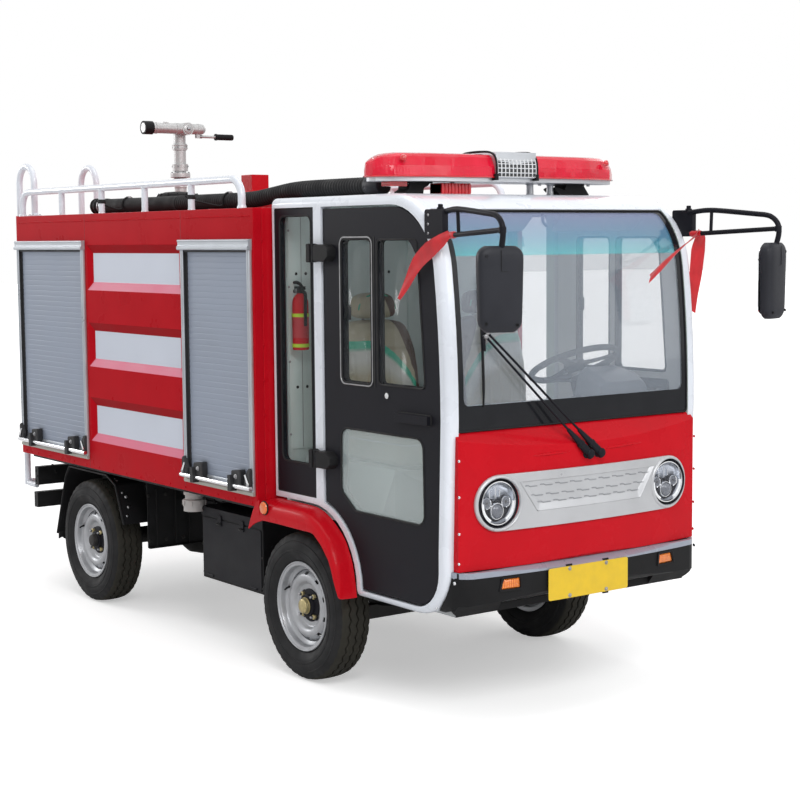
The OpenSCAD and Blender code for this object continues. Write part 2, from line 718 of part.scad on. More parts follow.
module wheel_at(x, side) translate([x, side * track / 2, az]) rotate([0, 0, side > 0 ? 0 : 180]) children();

module tyre_front_right() color("#202020") wheel_at(0, -1) tyre();
module tyre_front_left() color("#202020") wheel_at(0, 1) tyre();
module tyre_rear_right() color("#202020") wheel_at(rear_x, -1) tyre();
module tyre_rear_left() color("#202020") wheel_at(rear_x, 1) tyre();
module rim_front_right() color("silver") wheel_at(0, -1) rim();
module rim_front_left() color("silver") wheel_at(0, 1) rim();
module rim_rear_right() color("silver") wheel_at(rear_x, -1) rim();
module rim_rear_left() color("silver") wheel_at(rear_x, 1) rim();

module front_pane(g) intersection() {
  polygon(door_outline(-95 - g));
  polygon(rect(494 + g, 1210 + g, 900, 1742 - g));
}

module door() {
  difference() {
    along_y(-half_w + 6, -half_w + 36) polygon(door_outline(-door_gap));
    along_y(-half_w - 10, -half_w + 60) {
      polygon(rounded(rect(260, 1206, 456, 1744), 22));
      front_pane(0);
      polygon(rounded(lower_window, 40));
    }
  }
  block(622, 818, -half_w - 14, -half_w + 7, 1084, 1116);
  for (z = hinge_z)
    difference() {
      union() {
        rod_z(hinge_x, hinge_y, 13, z - 12, z + 12);
        block(hinge_x, 150, hinge_y - 7, hinge_y + 7, z - 12, z + 12);
        block(146, 176, hinge_y - 10, -half_w + 7, z - 32, z + 32);
      }
      rod_z(hinge_x, hinge_y, 6.05, z - 40, z + 40);
    }
}

module door_glass() along_y(-half_w + 14, -half_w + 19) {
  polygon(rounded(rect(260.3, 1206.3, 455.7, 1743.7), 21.7));
  front_pane(0.3);
  polygon(rounded([[251.4, 1029.7], [768.7, 1029.7], [774.7, 716.3], [342.1, 717.3], [246.4, 785.2]], 40));
}

module door_right() color("#1c1c1c") door();
module door_left() color("#1c1c1c") mirror([0, 1, 0]) door();
module door_glass_right() color("#9fd0d0") door_glass();
module door_glass_left() color("#9fd0d0") mirror([0, 1, 0]) door_glass();

module steering_wheel() color("#1c1c1c") translate(wheel_c) rotate([0, -wheel_tilt, 0]) {
  rotate_extrude($fn = 96) translate([176, 8]) circle(r = 12);
  difference() {
    union() {
      translate([0, 0, -24]) cylinder(h = 40, r = 36);
      for (a = [0, 120, 240])
        rotate([0, 0, a + 180]) block(20, 172, -14, 14, 0, 12);
    }
    translate([0, 0, -60]) cylinder(h = 61, r = 9.05);
  }
}

module placed() translate([shift_x, 0, 0]) children();

placed() chassis_frame();
placed() front_axle();
placed() rear_axle();
placed() leaf_springs();
placed() battery_boxes();
placed() rear_mudguards();
placed() outlet_pipe();
placed() cab_floor();
placed() cab_rear_wall();
placed() cab_roof();
placed() cab_sides();
placed() door_hinges();
placed() front_panel();
placed() front_bumper();
placed() grille_trim();
placed() headlamps();
placed() signal_lamps();
placed() fixed_glass();
placed() quarter_frames();
placed() seats();
placed() dashboard();
placed() fire_extinguisher();
placed() wipers();
placed() mirrors();
placed() front_fenders();
placed() light_bar_base();
placed() light_bar_lenses();
placed() box_sides();
placed() box_ends();
placed() box_deck();
placed() box_floor();
placed() shutter_frames();
placed() shutter_curtains();
placed() shutter_bars();
placed() water_tank();
placed() roof_rails();
placed() ladder();
placed() suction_hose();
placed() deck_hatch();
placed() monitor_post();
placed() knuckle_right();
placed() knuckle_left();
placed() tie_rod();
placed() tyre_front_right();
placed() rim_front_right();
placed() tyre_front_left();
placed() rim_front_left();
placed() tyre_rear_right();
placed() rim_rear_right();
placed() tyre_rear_left();
placed() rim_rear_left();
placed() door_right();
placed() door_glass_right();
placed() door_left();
placed() door_glass_left();
placed() steering_wheel();
placed() monitor_head();
placed() monitor_barrel();
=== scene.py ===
"""Dresses the small electric water tanker fire truck. Lengths are millimetres from the front axle."""

import math

import bmesh
import bpy
from mathutils import Matrix, Vector


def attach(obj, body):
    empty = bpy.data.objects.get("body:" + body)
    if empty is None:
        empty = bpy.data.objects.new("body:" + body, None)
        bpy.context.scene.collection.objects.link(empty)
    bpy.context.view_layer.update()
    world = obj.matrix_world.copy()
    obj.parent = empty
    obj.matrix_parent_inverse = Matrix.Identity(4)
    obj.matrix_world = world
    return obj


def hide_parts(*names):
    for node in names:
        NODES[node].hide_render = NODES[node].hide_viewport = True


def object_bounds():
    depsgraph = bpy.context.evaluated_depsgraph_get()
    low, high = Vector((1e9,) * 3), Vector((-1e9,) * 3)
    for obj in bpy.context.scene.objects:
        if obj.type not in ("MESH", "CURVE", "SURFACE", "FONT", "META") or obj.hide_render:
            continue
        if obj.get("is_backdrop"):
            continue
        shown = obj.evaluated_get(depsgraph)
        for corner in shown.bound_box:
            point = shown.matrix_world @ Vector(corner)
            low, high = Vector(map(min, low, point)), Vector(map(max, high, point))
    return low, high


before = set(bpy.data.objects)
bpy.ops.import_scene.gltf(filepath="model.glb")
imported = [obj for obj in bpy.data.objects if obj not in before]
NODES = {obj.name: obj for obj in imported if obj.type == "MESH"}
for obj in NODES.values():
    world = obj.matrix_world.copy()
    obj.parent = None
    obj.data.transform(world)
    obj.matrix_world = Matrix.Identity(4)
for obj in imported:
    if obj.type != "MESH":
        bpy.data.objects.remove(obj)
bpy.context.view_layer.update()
SHIFT = 0.65475
FORWARD = (1, 0, 0)
BACKWARD = (-1, 0, 0)
LEFTWARD = (0, 1, 0)
RIGHTWARD = (0, -1, 0)
UPWARD = (0, 0, 1)
DOWNWARD = (0, 0, -1)


def at(p):
    """A point in millimetres from the front axle, in the model's frame in metres."""
    return Vector((p[0] / 1000 + SHIFT, p[1] / 1000, p[2] / 1000))


def link(obj):
    """Puts an object into the scene."""
    bpy.context.scene.collection.objects.link(obj)
    return obj


class Shape:
    """Points, faces and a material number for each face."""

    def __init__(self):
        self.points = []
        self.faces = []
        self.marks = []

    def add(self, points, faces, mark=0):
        """Adds points and faces in one finish."""
        first = len(self.points)
        self.points += [Vector(p) for p in points]
        self.faces += [[first + i for i in f] for f in faces]
        self.marks += [mark] * len(faces)
        return self

    def rings(self, rings, mark=0, closed=True, caps=True, loop=False):
        """Joins rows of points, each as long as the next."""
        n = len(rings[0])
        m = len(rings)
        faces = []
        for k in range(m if loop else m - 1):
            for i in range(n if closed else n - 1):
                a = k * n + i
                b = k * n + (i + 1) % n
                c = (k + 1) % m * n + (i + 1) % n
                d = (k + 1) % m * n + i
                faces.append([a, b, c, d])
        if caps and not loop:
            faces.append(list(range(n))[::-1])
            faces.append([(m - 1) * n + i for i in range(n)])
        return self.add([p for r in rings for p in r], faces, mark)

    def box(self, x, y, z, mark=0, turn=None):
        """A box between two values on each axis, turned afterwards if a turn is given."""
        low = [(x[0], y[0], z[0]), (x[1], y[0], z[0]), (x[1], y[1], z[0]), (x[0], y[1], z[0])]
        high = [(p[0], p[1], z[1]) for p in low]
        if turn:
            low = [turn @ Vector(p) for p in low]
            high = [turn @ Vector(p) for p in high]
        return self.rings([low, high], mark)

    def lathe(self, origin, axis, profile, steps=32, mark=0, caps=True, loop=False):
        """Turns a profile of radii and heights about an axis."""
        axis = Vector(axis).normalized()
        side = axis.orthogonal().normalized()
        other = axis.cross(side)
        rings = []
        for r, h in profile:
            ring = []
            for a in around(steps):
                ring.append(Vector(origin) + axis * h + (side * math.cos(a) + other * math.sin(a)) * r)
            rings.append(ring)
        return self.rings(rings, mark, True, caps, loop)

    def tube(self, path, radius, sides=12, mark=0, caps=True):
        """A round bar along a path; radius is one value or one for each point."""
        path = [Vector(p) for p in path]
        radii = radius if hasattr(radius, "__len__") else [radius] * len(path)
        side = None
        rings = []
        for k, p in enumerate(path):
            ahead = path[min(k + 1, len(path) - 1)] - path[max(k - 1, 0)]
            ahead.normalize()
            if side is None:
                side = ahead.orthogonal().normalized()
            side = (side - ahead * side.dot(ahead)).normalized()
            other = ahead.cross(side)
            ring = []
            for a in around(sides):
                ring.append(p + (side * math.cos(a) + other * math.sin(a)) * radii[k])
            rings.append(ring)
        return self.rings(rings, mark, True, caps)

    def mirrored(self):
        """Adds the same again on the other side of the truck."""
        points = [Vector((p.x, -p.y, p.z)) for p in self.points]
        faces = [f[::-1] for f in self.faces]
        marks = list(self.marks)
        self.add(points, faces)
        self.marks[-len(marks):] = marks
        return self

    def moved(self, matrix):
        """Moves every point."""
        self.points = [matrix @ p for p in self.points]
        return self


def rounded_rect(x0, y0, x1, y1, r, n=5):
    """The outline of a rectangle with rounded corners."""
    points = []
    for cx, cy, a0 in ((x1 - r, y1 - r, 0), (x0 + r, y1 - r, 90), (x0 + r, y0 + r, 180),
                       (x1 - r, y0 + r, 270)):
        for i in range(n + 1):
            a = math.radians(a0 + 90 * i / n)
            points.append((cx + r * math.cos(a), cy + r * math.sin(a)))
    return points


def rounded_outline(corners, radius, n=5):
    """Corner points with each corner rounded."""
    points = []
    m = len(corners)
    for i in range(m):
        b = Vector(corners[i])
        u = (Vector(corners[i - 1]) - b).normalized()
        v = (Vector(corners[(i + 1) % m]) - b).normalized()
        half = u.angle(v) / 2
        start = b + u * radius / math.tan(half)
        end = b + v * radius / math.tan(half)
        centre = b + (u + v).normalized() * radius / math.sin(half)
        for k in range(n + 1):
            t = k / n
            p = start.lerp(end, t) - centre
            points.append(tuple(centre + p.normalized() * radius))
    return points


def shrunk(outline, centre, scale):
    """An outline scaled about a centre, by one scale for each direction."""
    return [tuple(c + (v - c) * s for v, c, s in zip(p, centre, scale)) for p in outline]


def side_ring(outline, y, centre=(0, 0), scale=(1, 1)):
    """An outline of x and z, set on a plane that faces sideways."""
    return [(x, y, z) for x, z in shrunk(outline, centre, scale)]


def front_ring(outline, x, centre=(0, 0), scale=(1, 1)):
    """An outline of y and z, set on a plane that faces forward."""
    return [(x, y, z) for y, z in shrunk(outline, centre, scale)]


def level_ring(outline, z, centre=(0, 0), scale=(1, 1)):
    """An outline of x and y, set on a level plane."""
    return [(x, y, z) for x, y in shrunk(outline, centre, scale)]


def spun(place, angle, axis):
    """A turn about an axis, then a move to a place."""
    return Matrix.Translation(place) @ Matrix.Rotation(angle, 4, axis)


def around(count, start=0.0):
    """Angles spaced evenly over a full turn; start is a share of one step."""
    return [math.tau * (k + start) / count for k in range(count)]


def smooth_path(points, per=8):
    """A smooth line through points."""
    points = [Vector(p) for p in points]
    line = []
    for i in range(len(points) - 1):
        p0 = points[max(i - 1, 0)]
        p1 = points[i]
        p2 = points[i + 1]
        p3 = points[min(i + 2, len(points) - 1)]
        for k in range(per):
            t = k / per
            a = p1 * 2
            b = (p2 - p0) * t
            c = (p0 * 2 - p1 * 5 + p2 * 4 - p3) * t * t
            d = (p1 * 3 - p0 - p2 * 3 + p3) * t ** 3
            line.append((a + b + c + d) / 2)
    line.append(points[-1])
    return line


def soften(obj, bevel, segments, angle):
    """Rounds the edges that are sharper than an angle."""
    modifier = obj.modifiers.new("Edges", "BEVEL")
    modifier.width = bevel / 1000
    modifier.segments = segments
    modifier.limit_method = "ANGLE"
    modifier.angle_limit = math.radians(angle)
    modifier.harden_normals = False
    modifier.use_clamp_overlap = True
    obj.modifiers.new("Normals", "WEIGHTED_NORMAL").keep_sharp = True


def piece(name, shape, mats, body="truck", bevel=0, segments=2, sharp=35, levels=0, replaces=()):
    """Makes one piece of the scene and puts it on its body."""
    mesh = bpy.data.meshes.new(name)
    mesh.from_pydata([at(p) for p in shape.points], [], shape.faces)
    for m in mats if isinstance(mats, (list, tuple)) else [mats]:
        mesh.materials.append(m)
    mesh.polygons.foreach_set("material_index", shape.marks)
    work = bmesh.new()
    work.from_mesh(mesh)
    bmesh.ops.recalc_face_normals(work, faces=work.faces)
    work.to_mesh(mesh)
    work.free()
    mesh.polygons.foreach_set("use_smooth", [True] * len(mesh.polygons))
    obj = link(bpy.data.objects.new(name, mesh))
    if levels:
        modifier = obj.modifiers.new("Smooth", "SUBSURF")
        modifier.levels = levels
        modifier.render_levels = levels
    elif bevel:
        soften(obj, bevel, segments, 30)
    else:
        mesh.set_sharp_from_angle(angle=math.radians(sharp))
    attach(obj, body)
    if replaces:
        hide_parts(*replaces)
    return obj


def dress(node, mats, bevel=2.0, segments=2, choose=None, angle=30):
    """Gives a node of the frame its finish and softens its edges."""
    obj = NODES[node]
    mesh = obj.data
    mesh.materials.clear()
    for m in mats if isinstance(mats, (list, tuple)) else [mats]:
        mesh.materials.append(m)
    if choose:
        for face in mesh.polygons:
            c = obj.matrix_world @ face.center * 1000
            face.material_index = choose(Vector((c.x - SHIFT * 1000, c.y, c.z)), face.normal)
    else:
        mesh.polygons.foreach_set("material_index", [0] * len(mesh.polygons))
    if "custom_normal" in mesh.attributes:
        mesh.attributes.remove(mesh.attributes["custom_normal"])
    mesh.polygons.foreach_set("use_smooth", [True] * len(mesh.polygons))
    weld = obj.modifiers.new("Weld", "WELD")
    weld.merge_threshold = 0.0001
    flat = obj.modifiers.new("Flat", "DECIMATE")
    flat.decimate_type = "DISSOLVE"
    flat.angle_limit = math.radians(0.6)
    flat.delimit = {"MATERIAL"}
    if bevel:
        soften(obj, bevel, segments, angle)
    return obj


# Materials
class Nodes:
    """A material's node tree, with short ways to add and join nodes."""

    def __init__(self, name):
        self.material = bpy.data.materials.new(name)
        self.material.use_nodes = True
        self.tree = self.material.node_tree
        self.shader = self.tree.nodes["Principled BSDF"]
        self.place = self.node("ShaderNodeTexCoord").outputs["Object"]

    def node(self, kind, **values):
        made = self.tree.nodes.new(kind)
        for key, value in values.items():
            setattr(made, key, value)
        return made

    def join(self, source, target):
        self.tree.links.new(source, target)

    def set(self, **values):
        """Sets sockets of the shader to constant values."""
        for key, value in values.items():
            self.shader.inputs[key.replace("_", " ")].default_value = value

    def noise(self, scale, detail=3, stretch=None):
        made = self.node("ShaderNodeTexNoise")
        made.inputs["Scale"].default_value = scale
        made.inputs["Detail"].default_value = detail
        place = self.place
        if stretch:
            mapping = self.node("ShaderNodeMapping")
            mapping.inputs["Scale"].default_value = stretch
            self.join(place, mapping.inputs["Vector"])
            place = mapping.outputs["Vector"]
        self.join(place, made.inputs["Vector"])
        return made.outputs["Fac"]

    def ramp(self, source, stops):
        made = self.node("ShaderNodeValToRGB")
        elements = made.color_ramp.elements
        while len(elements) < len(stops):
            elements.new(0.5)
        for element, (place, color) in zip(elements, stops):
            element.position = place
            element.color = (*color[:3], 1)
        self.join(source, made.inputs["Fac"])
        return made.outputs["Color"]

    def spread(self, source, low, high, start=0.3, stop=0.7):
        made = self.node("ShaderNodeMapRange")
        made.inputs["From Min"].default_value = start
        made.inputs["From Max"].default_value = stop
        made.inputs["To Min"].default_value = low
        made.inputs["To Max"].default_value = high
        self.join(source, made.inputs["Value"])
        return made.outputs["Result"]

    def mix(self, factor, a, b):
        made = self.node("ShaderNodeMix", data_type="RGBA")
        self.join(factor, made.inputs["Factor"])
        for value, socket in ((a, made.inputs["A"]), (b, made.inputs["B"])):
            if hasattr(value, "is_linked"):
                self.join(value, socket)
            else:
                socket.default_value = (*value[:3], 1)
        return made.outputs["Result"]

    def bump(self, height, distance, strength=1.0, normal=None):
        made = self.node("ShaderNodeBump")
        made.inputs["Strength"].default_value = strength
        made.inputs["Distance"].default_value = distance
        self.join(height, made.inputs["Height"])
        if normal:
            self.join(normal, made.inputs["Normal"])
        return made.outputs["Normal"]

    def edge(self, radius):
        """Bright along the edges, from the difference between the true and the rounded surface."""
        bevel = self.node("ShaderNodeBevel")
        bevel.inputs["Radius"].default_value = radius
        dot = self.node("ShaderNodeVectorMath", operation="DOT_PRODUCT")
        self.join(bevel.outputs["Normal"], dot.inputs[0])
        self.join(self.node("ShaderNodeNewGeometry").outputs["Normal"], dot.inputs[1])
        return self.spread(dot.outputs["Value"], 1, 0, 0.75, 0.99)


def shade(color, by):
    """A colour made lighter or darker."""
    return tuple(max(0.0, min(1.0, c * by)) for c in color)


def finish(name, color, rough=0.4, metal=0.0, coat=0.0, vary=0.1, size=7, grain=0.0, grain_size=500,
           edge=None, spec=0.5, **sockets):
    """A material whose colour and roughness drift a little over its surface."""
    n = Nodes(name)
    drift = n.noise(size, 5)
    tint = n.ramp(drift, [(0.3, shade(color, 1 - vary)), (0.52, color), (0.75, shade(color, 1 + vary))])
    if edge:
        worn = n.edge(0.004)
        patch = n.noise(60, 4)
        cut = n.node("ShaderNodeMath", operation="MULTIPLY")
        n.join(worn, cut.inputs[0])
        n.join(n.spread(patch, 0, 0.55, 0.45, 0.7), cut.inputs[1])
        tint = n.mix(cut.outputs["Value"], tint, edge)
    n.join(tint, n.shader.inputs["Base Color"])
    n.join(n.spread(drift, rough * 0.8, min(1, rough * 1.25)), n.shader.inputs["Roughness"])
    n.set(Metallic=metal, Specular_IOR_Level=spec, **sockets)
    if coat:
        n.set(Coat_Weight=coat, Coat_Roughness=0.04)
    if grain:
        n.join(n.bump(n.noise(grain_size, 2), grain / 1000), n.shader.inputs["Normal"])
    return n.material


red_paint = finish("red_paint", (0.55, 0.005, 0.013), 0.26, coat=0.08, vary=0.05, grain=0.03, grain_size=160,
                   edge=(0.6, 0.09, 0.1), spec=0.07)
dark_red = finish("dark_red", (0.38, 0.004, 0.012), 0.35, coat=0.5, vary=0.08, grain=0.03, grain_size=160)
white_paint = finish("white_paint", (0.77, 0.81, 0.88), 0.28, coat=0.6, vary=0.03, grain=0.03,
                     grain_size=160, edge=(0.7, 0.71, 0.73))
cream_panel = finish("inner_panel", (0.72, 0.84, 0.81), 0.45, vary=0.05, grain=0.05, grain_size=240)
black_paint = finish("black_paint", (0.012, 0.012, 0.016), 0.42, vary=0.12, grain=0.05, grain_size=260,
                     edge=(0.04, 0.04, 0.044), spec=0.1)
black_plastic = finish("black_plastic", (0.012, 0.012, 0.013), 0.5, vary=0.2, grain=0.12, grain_size=900,
                       edge=(0.035, 0.035, 0.037), spec=0.13)
frame_black = finish("frame_black", (0.012, 0.012, 0.013), 0.55, vary=0.3, size=16, grain=0.1,
                     grain_size=300, edge=(0.05, 0.046, 0.042), spec=0.25)
rubber = finish("rubber", (0.013, 0.013, 0.014), 0.7, vary=0.2, size=14, grain=0.15, grain_size=700, spec=0.3)
silver_paint = finish("silver_paint", (0.52, 0.53, 0.55), 0.34, metal=0.35, coat=0.3, vary=0.05,
                      grain=0.04, grain_size=400)
rim_paint = finish("rim_paint", (0.42, 0.43, 0.45), 0.38, metal=0.55, vary=0.12, size=18, grain=0.06,
                   grain_size=350)
aluminium = finish("aluminium", (0.55, 0.57, 0.6), 0.36, metal=0.7, vary=0.06, grain=0.05, grain_size=420)
cast_metal = finish("cast_metal", (0.5, 0.5, 0.5), 0.42, metal=0.6, vary=0.08, size=20, grain=0.2,
                    grain_size=420)
chrome = finish("chrome", (0.82, 0.83, 0.85), 0.1, metal=1.0, vary=0.03, size=12)
steel = finish("steel", (0.36, 0.36, 0.37), 0.35, metal=0.9, vary=0.18, size=40, grain=0.08, grain_size=600)
zinc = finish("yellow_zinc", (0.5, 0.42, 0.22), 0.32, metal=0.85, vary=0.22, size=45, grain=0.05,
              grain_size=500)
iron = finish("iron", (0.03, 0.029, 0.028), 0.6, metal=0.4, vary=0.35, size=30, grain=0.3, grain_size=250)
grey_plastic = finish("grey_plastic", (0.42, 0.44, 0.45), 0.5, vary=0.05, grain=0.15, grain_size=800)
dark_grey = finish("dark_grey", (0.022, 0.023, 0.029), 0.45, vary=0.12, grain=0.1, grain_size=700, spec=0.2)
white_plastic = finish("white_plastic", (0.74, 0.75, 0.76), 0.4, vary=0.03, grain=0.08, grain_size=500)
amber = finish("amber_lens", (0.85, 0.16, 0.008), 0.15, coat=0.8, vary=0.15, size=60)
red_lens = finish("red_lens", (0.62, 0.006, 0.014), 0.12, coat=0.9, vary=0.12, size=30)
yellow_plate = finish("yellow_plate", (0.78, 0.52, 0.012), 0.42, coat=0.15, vary=0.06, size=25,
                      grain=0.05, grain_size=900)


def glass(name, color, alpha, rough=0.03):
    """Clear window glass, which lets light through by its alpha."""
    n = Nodes(name)
    drift = n.noise(3, 3)
    n.join(n.ramp(drift, [(0.3, shade(color, 0.94)), (0.7, shade(color, 1.05))]),
           n.shader.inputs["Base Color"])
    n.join(n.spread(drift, rough, rough * 1.6), n.shader.inputs["Roughness"])
    n.set(Alpha=alpha, IOR=2.3)
    n.material.surface_render_method = "BLENDED"
    return n.material


clear_glass = glass("clear_glass", (0.03, 0.05, 0.05), 0.1)
door_pane = glass("door_pane", (0.03, 0.045, 0.05), 0.14)

# Nodes that keep their CAD shape
for node in ("chassis_frame", "leaf_springs", "box_floor", "tie_rod"):
    dress(node, frame_black, 2)
for node in ("front_axle", "rear_axle", "knuckle_right", "knuckle_left"):
    dress(node, iron, 2)
for node in ("battery_boxes", "rear_mudguards", "front_bumper"):
    dress(node, black_plastic, 4, 3)
dress("door_hinges", black_plastic, 3)
for node in ("cab_roof", "roof_rails", "ladder"):
    dress(node, white_paint, 2)
dress("front_panel", red_paint, 6, 3)
for node in ("box_ends", "deck_hatch"):
    dress(node, red_paint, 3)
for node in ("monitor_post", "monitor_head"):
    dress(node, cast_metal, 2)
dress("monitor_barrel", [cast_metal, black_plastic], 1.5, choose=lambda c, n: int(c.y < -190 or c.y > 168))
for node in ("door_glass_right", "door_glass_left"):
    dress(node, door_pane, 0)
dress("cab_sides", [white_paint, cream_panel], 1.5,
      choose=lambda c, n: int(abs(c.y) < 571 and abs(n.y) > 0.9))
dress("door_right", [black_paint, white_plastic], 2, choose=lambda c, n: int(n.y > 0.9 and abs(c.y) < 585))
dress("door_left", [black_paint, white_plastic], 2, choose=lambda c, n: int(n.y < -0.9 and abs(c.y) < 585))
dress("quarter_frames", black_paint, 2)
recess_paint = finish("recess_paint", (0.63, 0.68, 0.78), 0.4, coat=0.1, vary=0.01, grain=0.03,
                      grain_size=160)
side_red = finish("side_red", (0.5, 0.005, 0.013), 0.3, vary=0.05, grain=0.03, grain_size=160, spec=0.03)
# Recess bevels are coloured by the way they face: pale pink is a painted sky reflection on upward bevels,
# dark red is painted shade on downward ones.
bevel_painted_sky_pink = finish("bevel_painted_sky_pink", (0.72, 0.19, 0.28), 0.35, vary=0.05, spec=0.05)
bevel_painted_shade = finish("bevel_painted_shade", (0.34, 0.004, 0.009), 0.35, vary=0.05, spec=0.02)


def side_finish(c, n):
    """Red sides with white recesses; the upward bevels get a painted pink sky reflection and the downward
    ones painted shade.
    """
    if abs(n.y) > 0.99:
        return int(abs(abs(c.y) - 685) < 1.5)
    if abs(n.y) < 0.3 or abs(n.z) < 0.3:
        return 0
    return 2 if n.z > 0 else 3


dress("box_sides", [side_red, recess_paint, bevel_painted_sky_pink, bevel_painted_shade], 2.5, angle=8, choose=side_finish)
dress("box_deck", dark_red, 1)
seat_base = finish("seat_base", (0.7, 0.8, 0.79), 0.4, vary=0.04, grain=0.06, grain_size=300)
dress("cab_floor", [grey_plastic, black_plastic, seat_base], 3,
      choose=lambda c, n: 2 if c.z > 681 else int(n.z < -0.5 or (n.x > 0.5 and c.x > 880)))
dress("cab_rear_wall", cream_panel, 2)
dress("dashboard", grey_plastic, 8, 3)
dress("grille_trim", silver_paint, 2.5, 3)
dress("outlet_pipe", grey_plastic, 1)
dress("shutter_frames", aluminium, 2)
dress("light_bar_base", aluminium, 2)
dress("water_tank", white_plastic, 6)

# Wheels
AXLE_Z = 296
tread_rubber = finish("tread_rubber", (0.032, 0.03, 0.024), 0.75, vary=0.25, size=14, grain=0.15,
                      grain_size=700, spec=0.2)
HALF_TRACK = 580


def tyre_section(step):
    """Radius and offset of a tyre's outline at one of its steps; the grooves zigzag from step to step."""
    zig = (0, 4.5, 0, -4.5)[step % 4]
    notch = 5 if step % 4 == 0 else 0
    wall = [(168, 53), (175, 58), (184, 61), (188, 65.5), (196, 69), (206, 75.5), (214, 79), (220, 79.6),
            (221.5, 82), (226, 82.3), (227.5, 80.4), (236, 81.6), (247, 80.6), (256, 77.6), (258, 78.6),
            (261, 78), (263, 75)]
    shoulder = [(271 - notch * 0.3, 72), (280 - notch, 68), (287 - notch, 63.5), (290.5 - notch * 0.4, 58)]
    tread = []
    for centre in (33, 0, -33):
        for offset, depth in ((4.2, 0), (3, 8), (-3, 8), (-4.2, 0)):
            h = centre + offset + zig
            tread.append((296 - 0.0012 * h * h - depth, h))
    half = wall + shoulder
    return half + tread + [(r, -h) for r, h in reversed(half)]


def tyre_shape(x, side):
    """A tyre, with its tread in the second finish."""
    rings = []
    steps = 160
    for step in range(steps):
        a = math.tau * step / steps
        ring = []
        for r, h in tyre_section(step):
            ring.append((x + r * math.cos(a), side * (HALF_TRACK + h), AXLE_Z + r * math.sin(a)))
        rings.append(ring)
    shape = Shape().rings(rings, loop=True)
    radii = [r for r, h in tyre_section(0)]
    shape.marks = [int(min(r, radii[i - len(radii) + 1]) > 275) for i, r in enumerate(radii)] * steps
    return shape


def disc_shape(x, side):
    """The pressed wheel disc, with ten vents left open."""
    steps = 120
    profile = [(147, 10), (141, 17), (136, 25), (130, 33), (124, 40), (117, 44), (108, 44.5), (100, 41),
               (94, 33), (89, 24), (82, 20), (60, 19), (34, 19)]
    points = []
    for r, h in profile:
        for a in around(steps):
            points.append((x + r * math.cos(a), side * (HALF_TRACK + h), AXLE_Z + r * math.sin(a)))
    faces = []
    for k in range(len(profile) - 1):
        for i in range(steps):
            if k in (2, 3) and i % 12 in (5, 6, 7):
                continue
            j = (i + 1) % steps
            faces.append([k * steps + i, k * steps + j, (k + 1) * steps + j, (k + 1) * steps + i])
    return Shape().add(points, faces)


def bolt(shape, place, axis, radius, height, mark=0, washer=1.4):
    """A hexagon head on a washer."""
    shape.lathe(place, axis, [(radius * washer, 0), (radius * washer, height * 0.2)], 16, mark)
    shape.lathe(place, axis, [(radius, height * 0.2), (radius, height * 0.85), (radius * 0.8, height)],
                6, mark)


for tag, wheel_x, side in (("front_right", 0, -1), ("front_left", 0, 1), ("rear_right", -1880, -1),
                           ("rear_left", -1880, 1)):
    body = "wheel_" + tag
    out = (0, side, 0)
    hub = Vector((wheel_x, side * HALF_TRACK, AXLE_Z))
    piece("tread_" + tag, tyre_shape(wheel_x, side), [rubber, tread_rubber], body,
          sharp=28, replaces=["tyre_" + tag])
    barrel = Shape()
    barrel.lathe(hub, out,
                 [(179, 65), (178.5, 60), (176, 58), (166, 57), (165, 40), (163, 31), (150, 24),
                  (148, 16), (148, -24), (166, -32), (166, -57), (177, -59), (179, -65), (174, -65),
                  (160, -60), (160, -34), (142, -26), (142, 14), (144, 27), (157, 35), (160, 41),
                  (160.5, 56), (163, 60.5), (172, 62.5), (174, 66), (177, 67)], 96, 0, loop=True)
    piece("rim_barrel_" + tag, barrel, rim_paint, body, sharp=40, replaces=["rim_" + tag])
    disc = piece("rim_disc_" + tag, disc_shape(wheel_x, side), rim_paint, body, sharp=50)
    thick = disc.modifiers.new("Sheet", "SOLIDIFY")
    thick.thickness = 0.005
    thick.offset = 0
    soften(disc, 1.2, 2, 40)
    cap = 2 if wheel_x == 0 else 0
    fittings = Shape()
    fittings.lathe(hub, out, [(118, -34), (124, -30), (124, -4), (120, 4), (60, 10), (20, 10)], 48, 0)
    fittings.lathe(hub, out, [(66, 19), (66, 25), (58, 28), (46, 30), (44, 40), (38, 43), (20, 43)], 48, 1)
    fittings.lathe(hub, out, [(31, 38), (31, 52), (29, 56), (29, 60), (25, 63.5), (14, 65.5), (4, 66)],
                   40, cap)
    fittings.lathe(hub, out, [(33, 44), (33.5, 46), (33, 48)], 40, cap)
    for k in range(4):
        a = math.radians(45 + 90 * k)
        spot = hub + Vector((57 * math.cos(a), side * 24, 57 * math.sin(a)))
        fittings.lathe(spot, out, [(16, -4), (16, 1), (11, 2.5)], 20, 1)
        fittings.lathe(spot, out, [(10.5, 1), (10.5, 13), (8, 15)], 6, 2)
        fittings.lathe(spot, out, [(5.5, 12), (5.5, 25), (4, 27)], 12, 3)
    a = math.radians(160)
    stem = hub + Vector((152 * math.cos(a), side * 26, 152 * math.sin(a)))
    fittings.tube([stem, stem + Vector((-6 * math.cos(a), side * 18, -6 * math.sin(a))),
                   stem + Vector((-16 * math.cos(a), side * 34, -16 * math.sin(a)))], [5.5, 4.5, 4], 10, 4)
    for weight_at in (37, 214):
        a = math.radians(weight_at)
        spot = hub + Vector((165 * math.cos(a), side * 60, 165 * math.sin(a)))
        along = Vector((-math.sin(a), 0, math.cos(a)))
        fittings.tube([spot - along * 16, spot - along * 8, spot + along * 8, spot + along * 16],
                      [2, 4, 4, 2], 8, 3)
    piece("hub_" + tag, fittings, [iron, black_paint, zinc, steel, rubber], body, bevel=0.8)


# Front of the cab
PANEL_FRONT = 975
PANEL_RADIUS = 3990
BUMPER_FRONT = 1003
BUMPER_RADIUS = 3712
LAMP_Y = 421
LAMP_Z = 804


def bow(y, front=PANEL_FRONT, radius=PANEL_RADIUS):
    """How far forward a bowed front stands at a place across the truck."""
    return front - radius + math.sqrt(radius * radius - y * y)


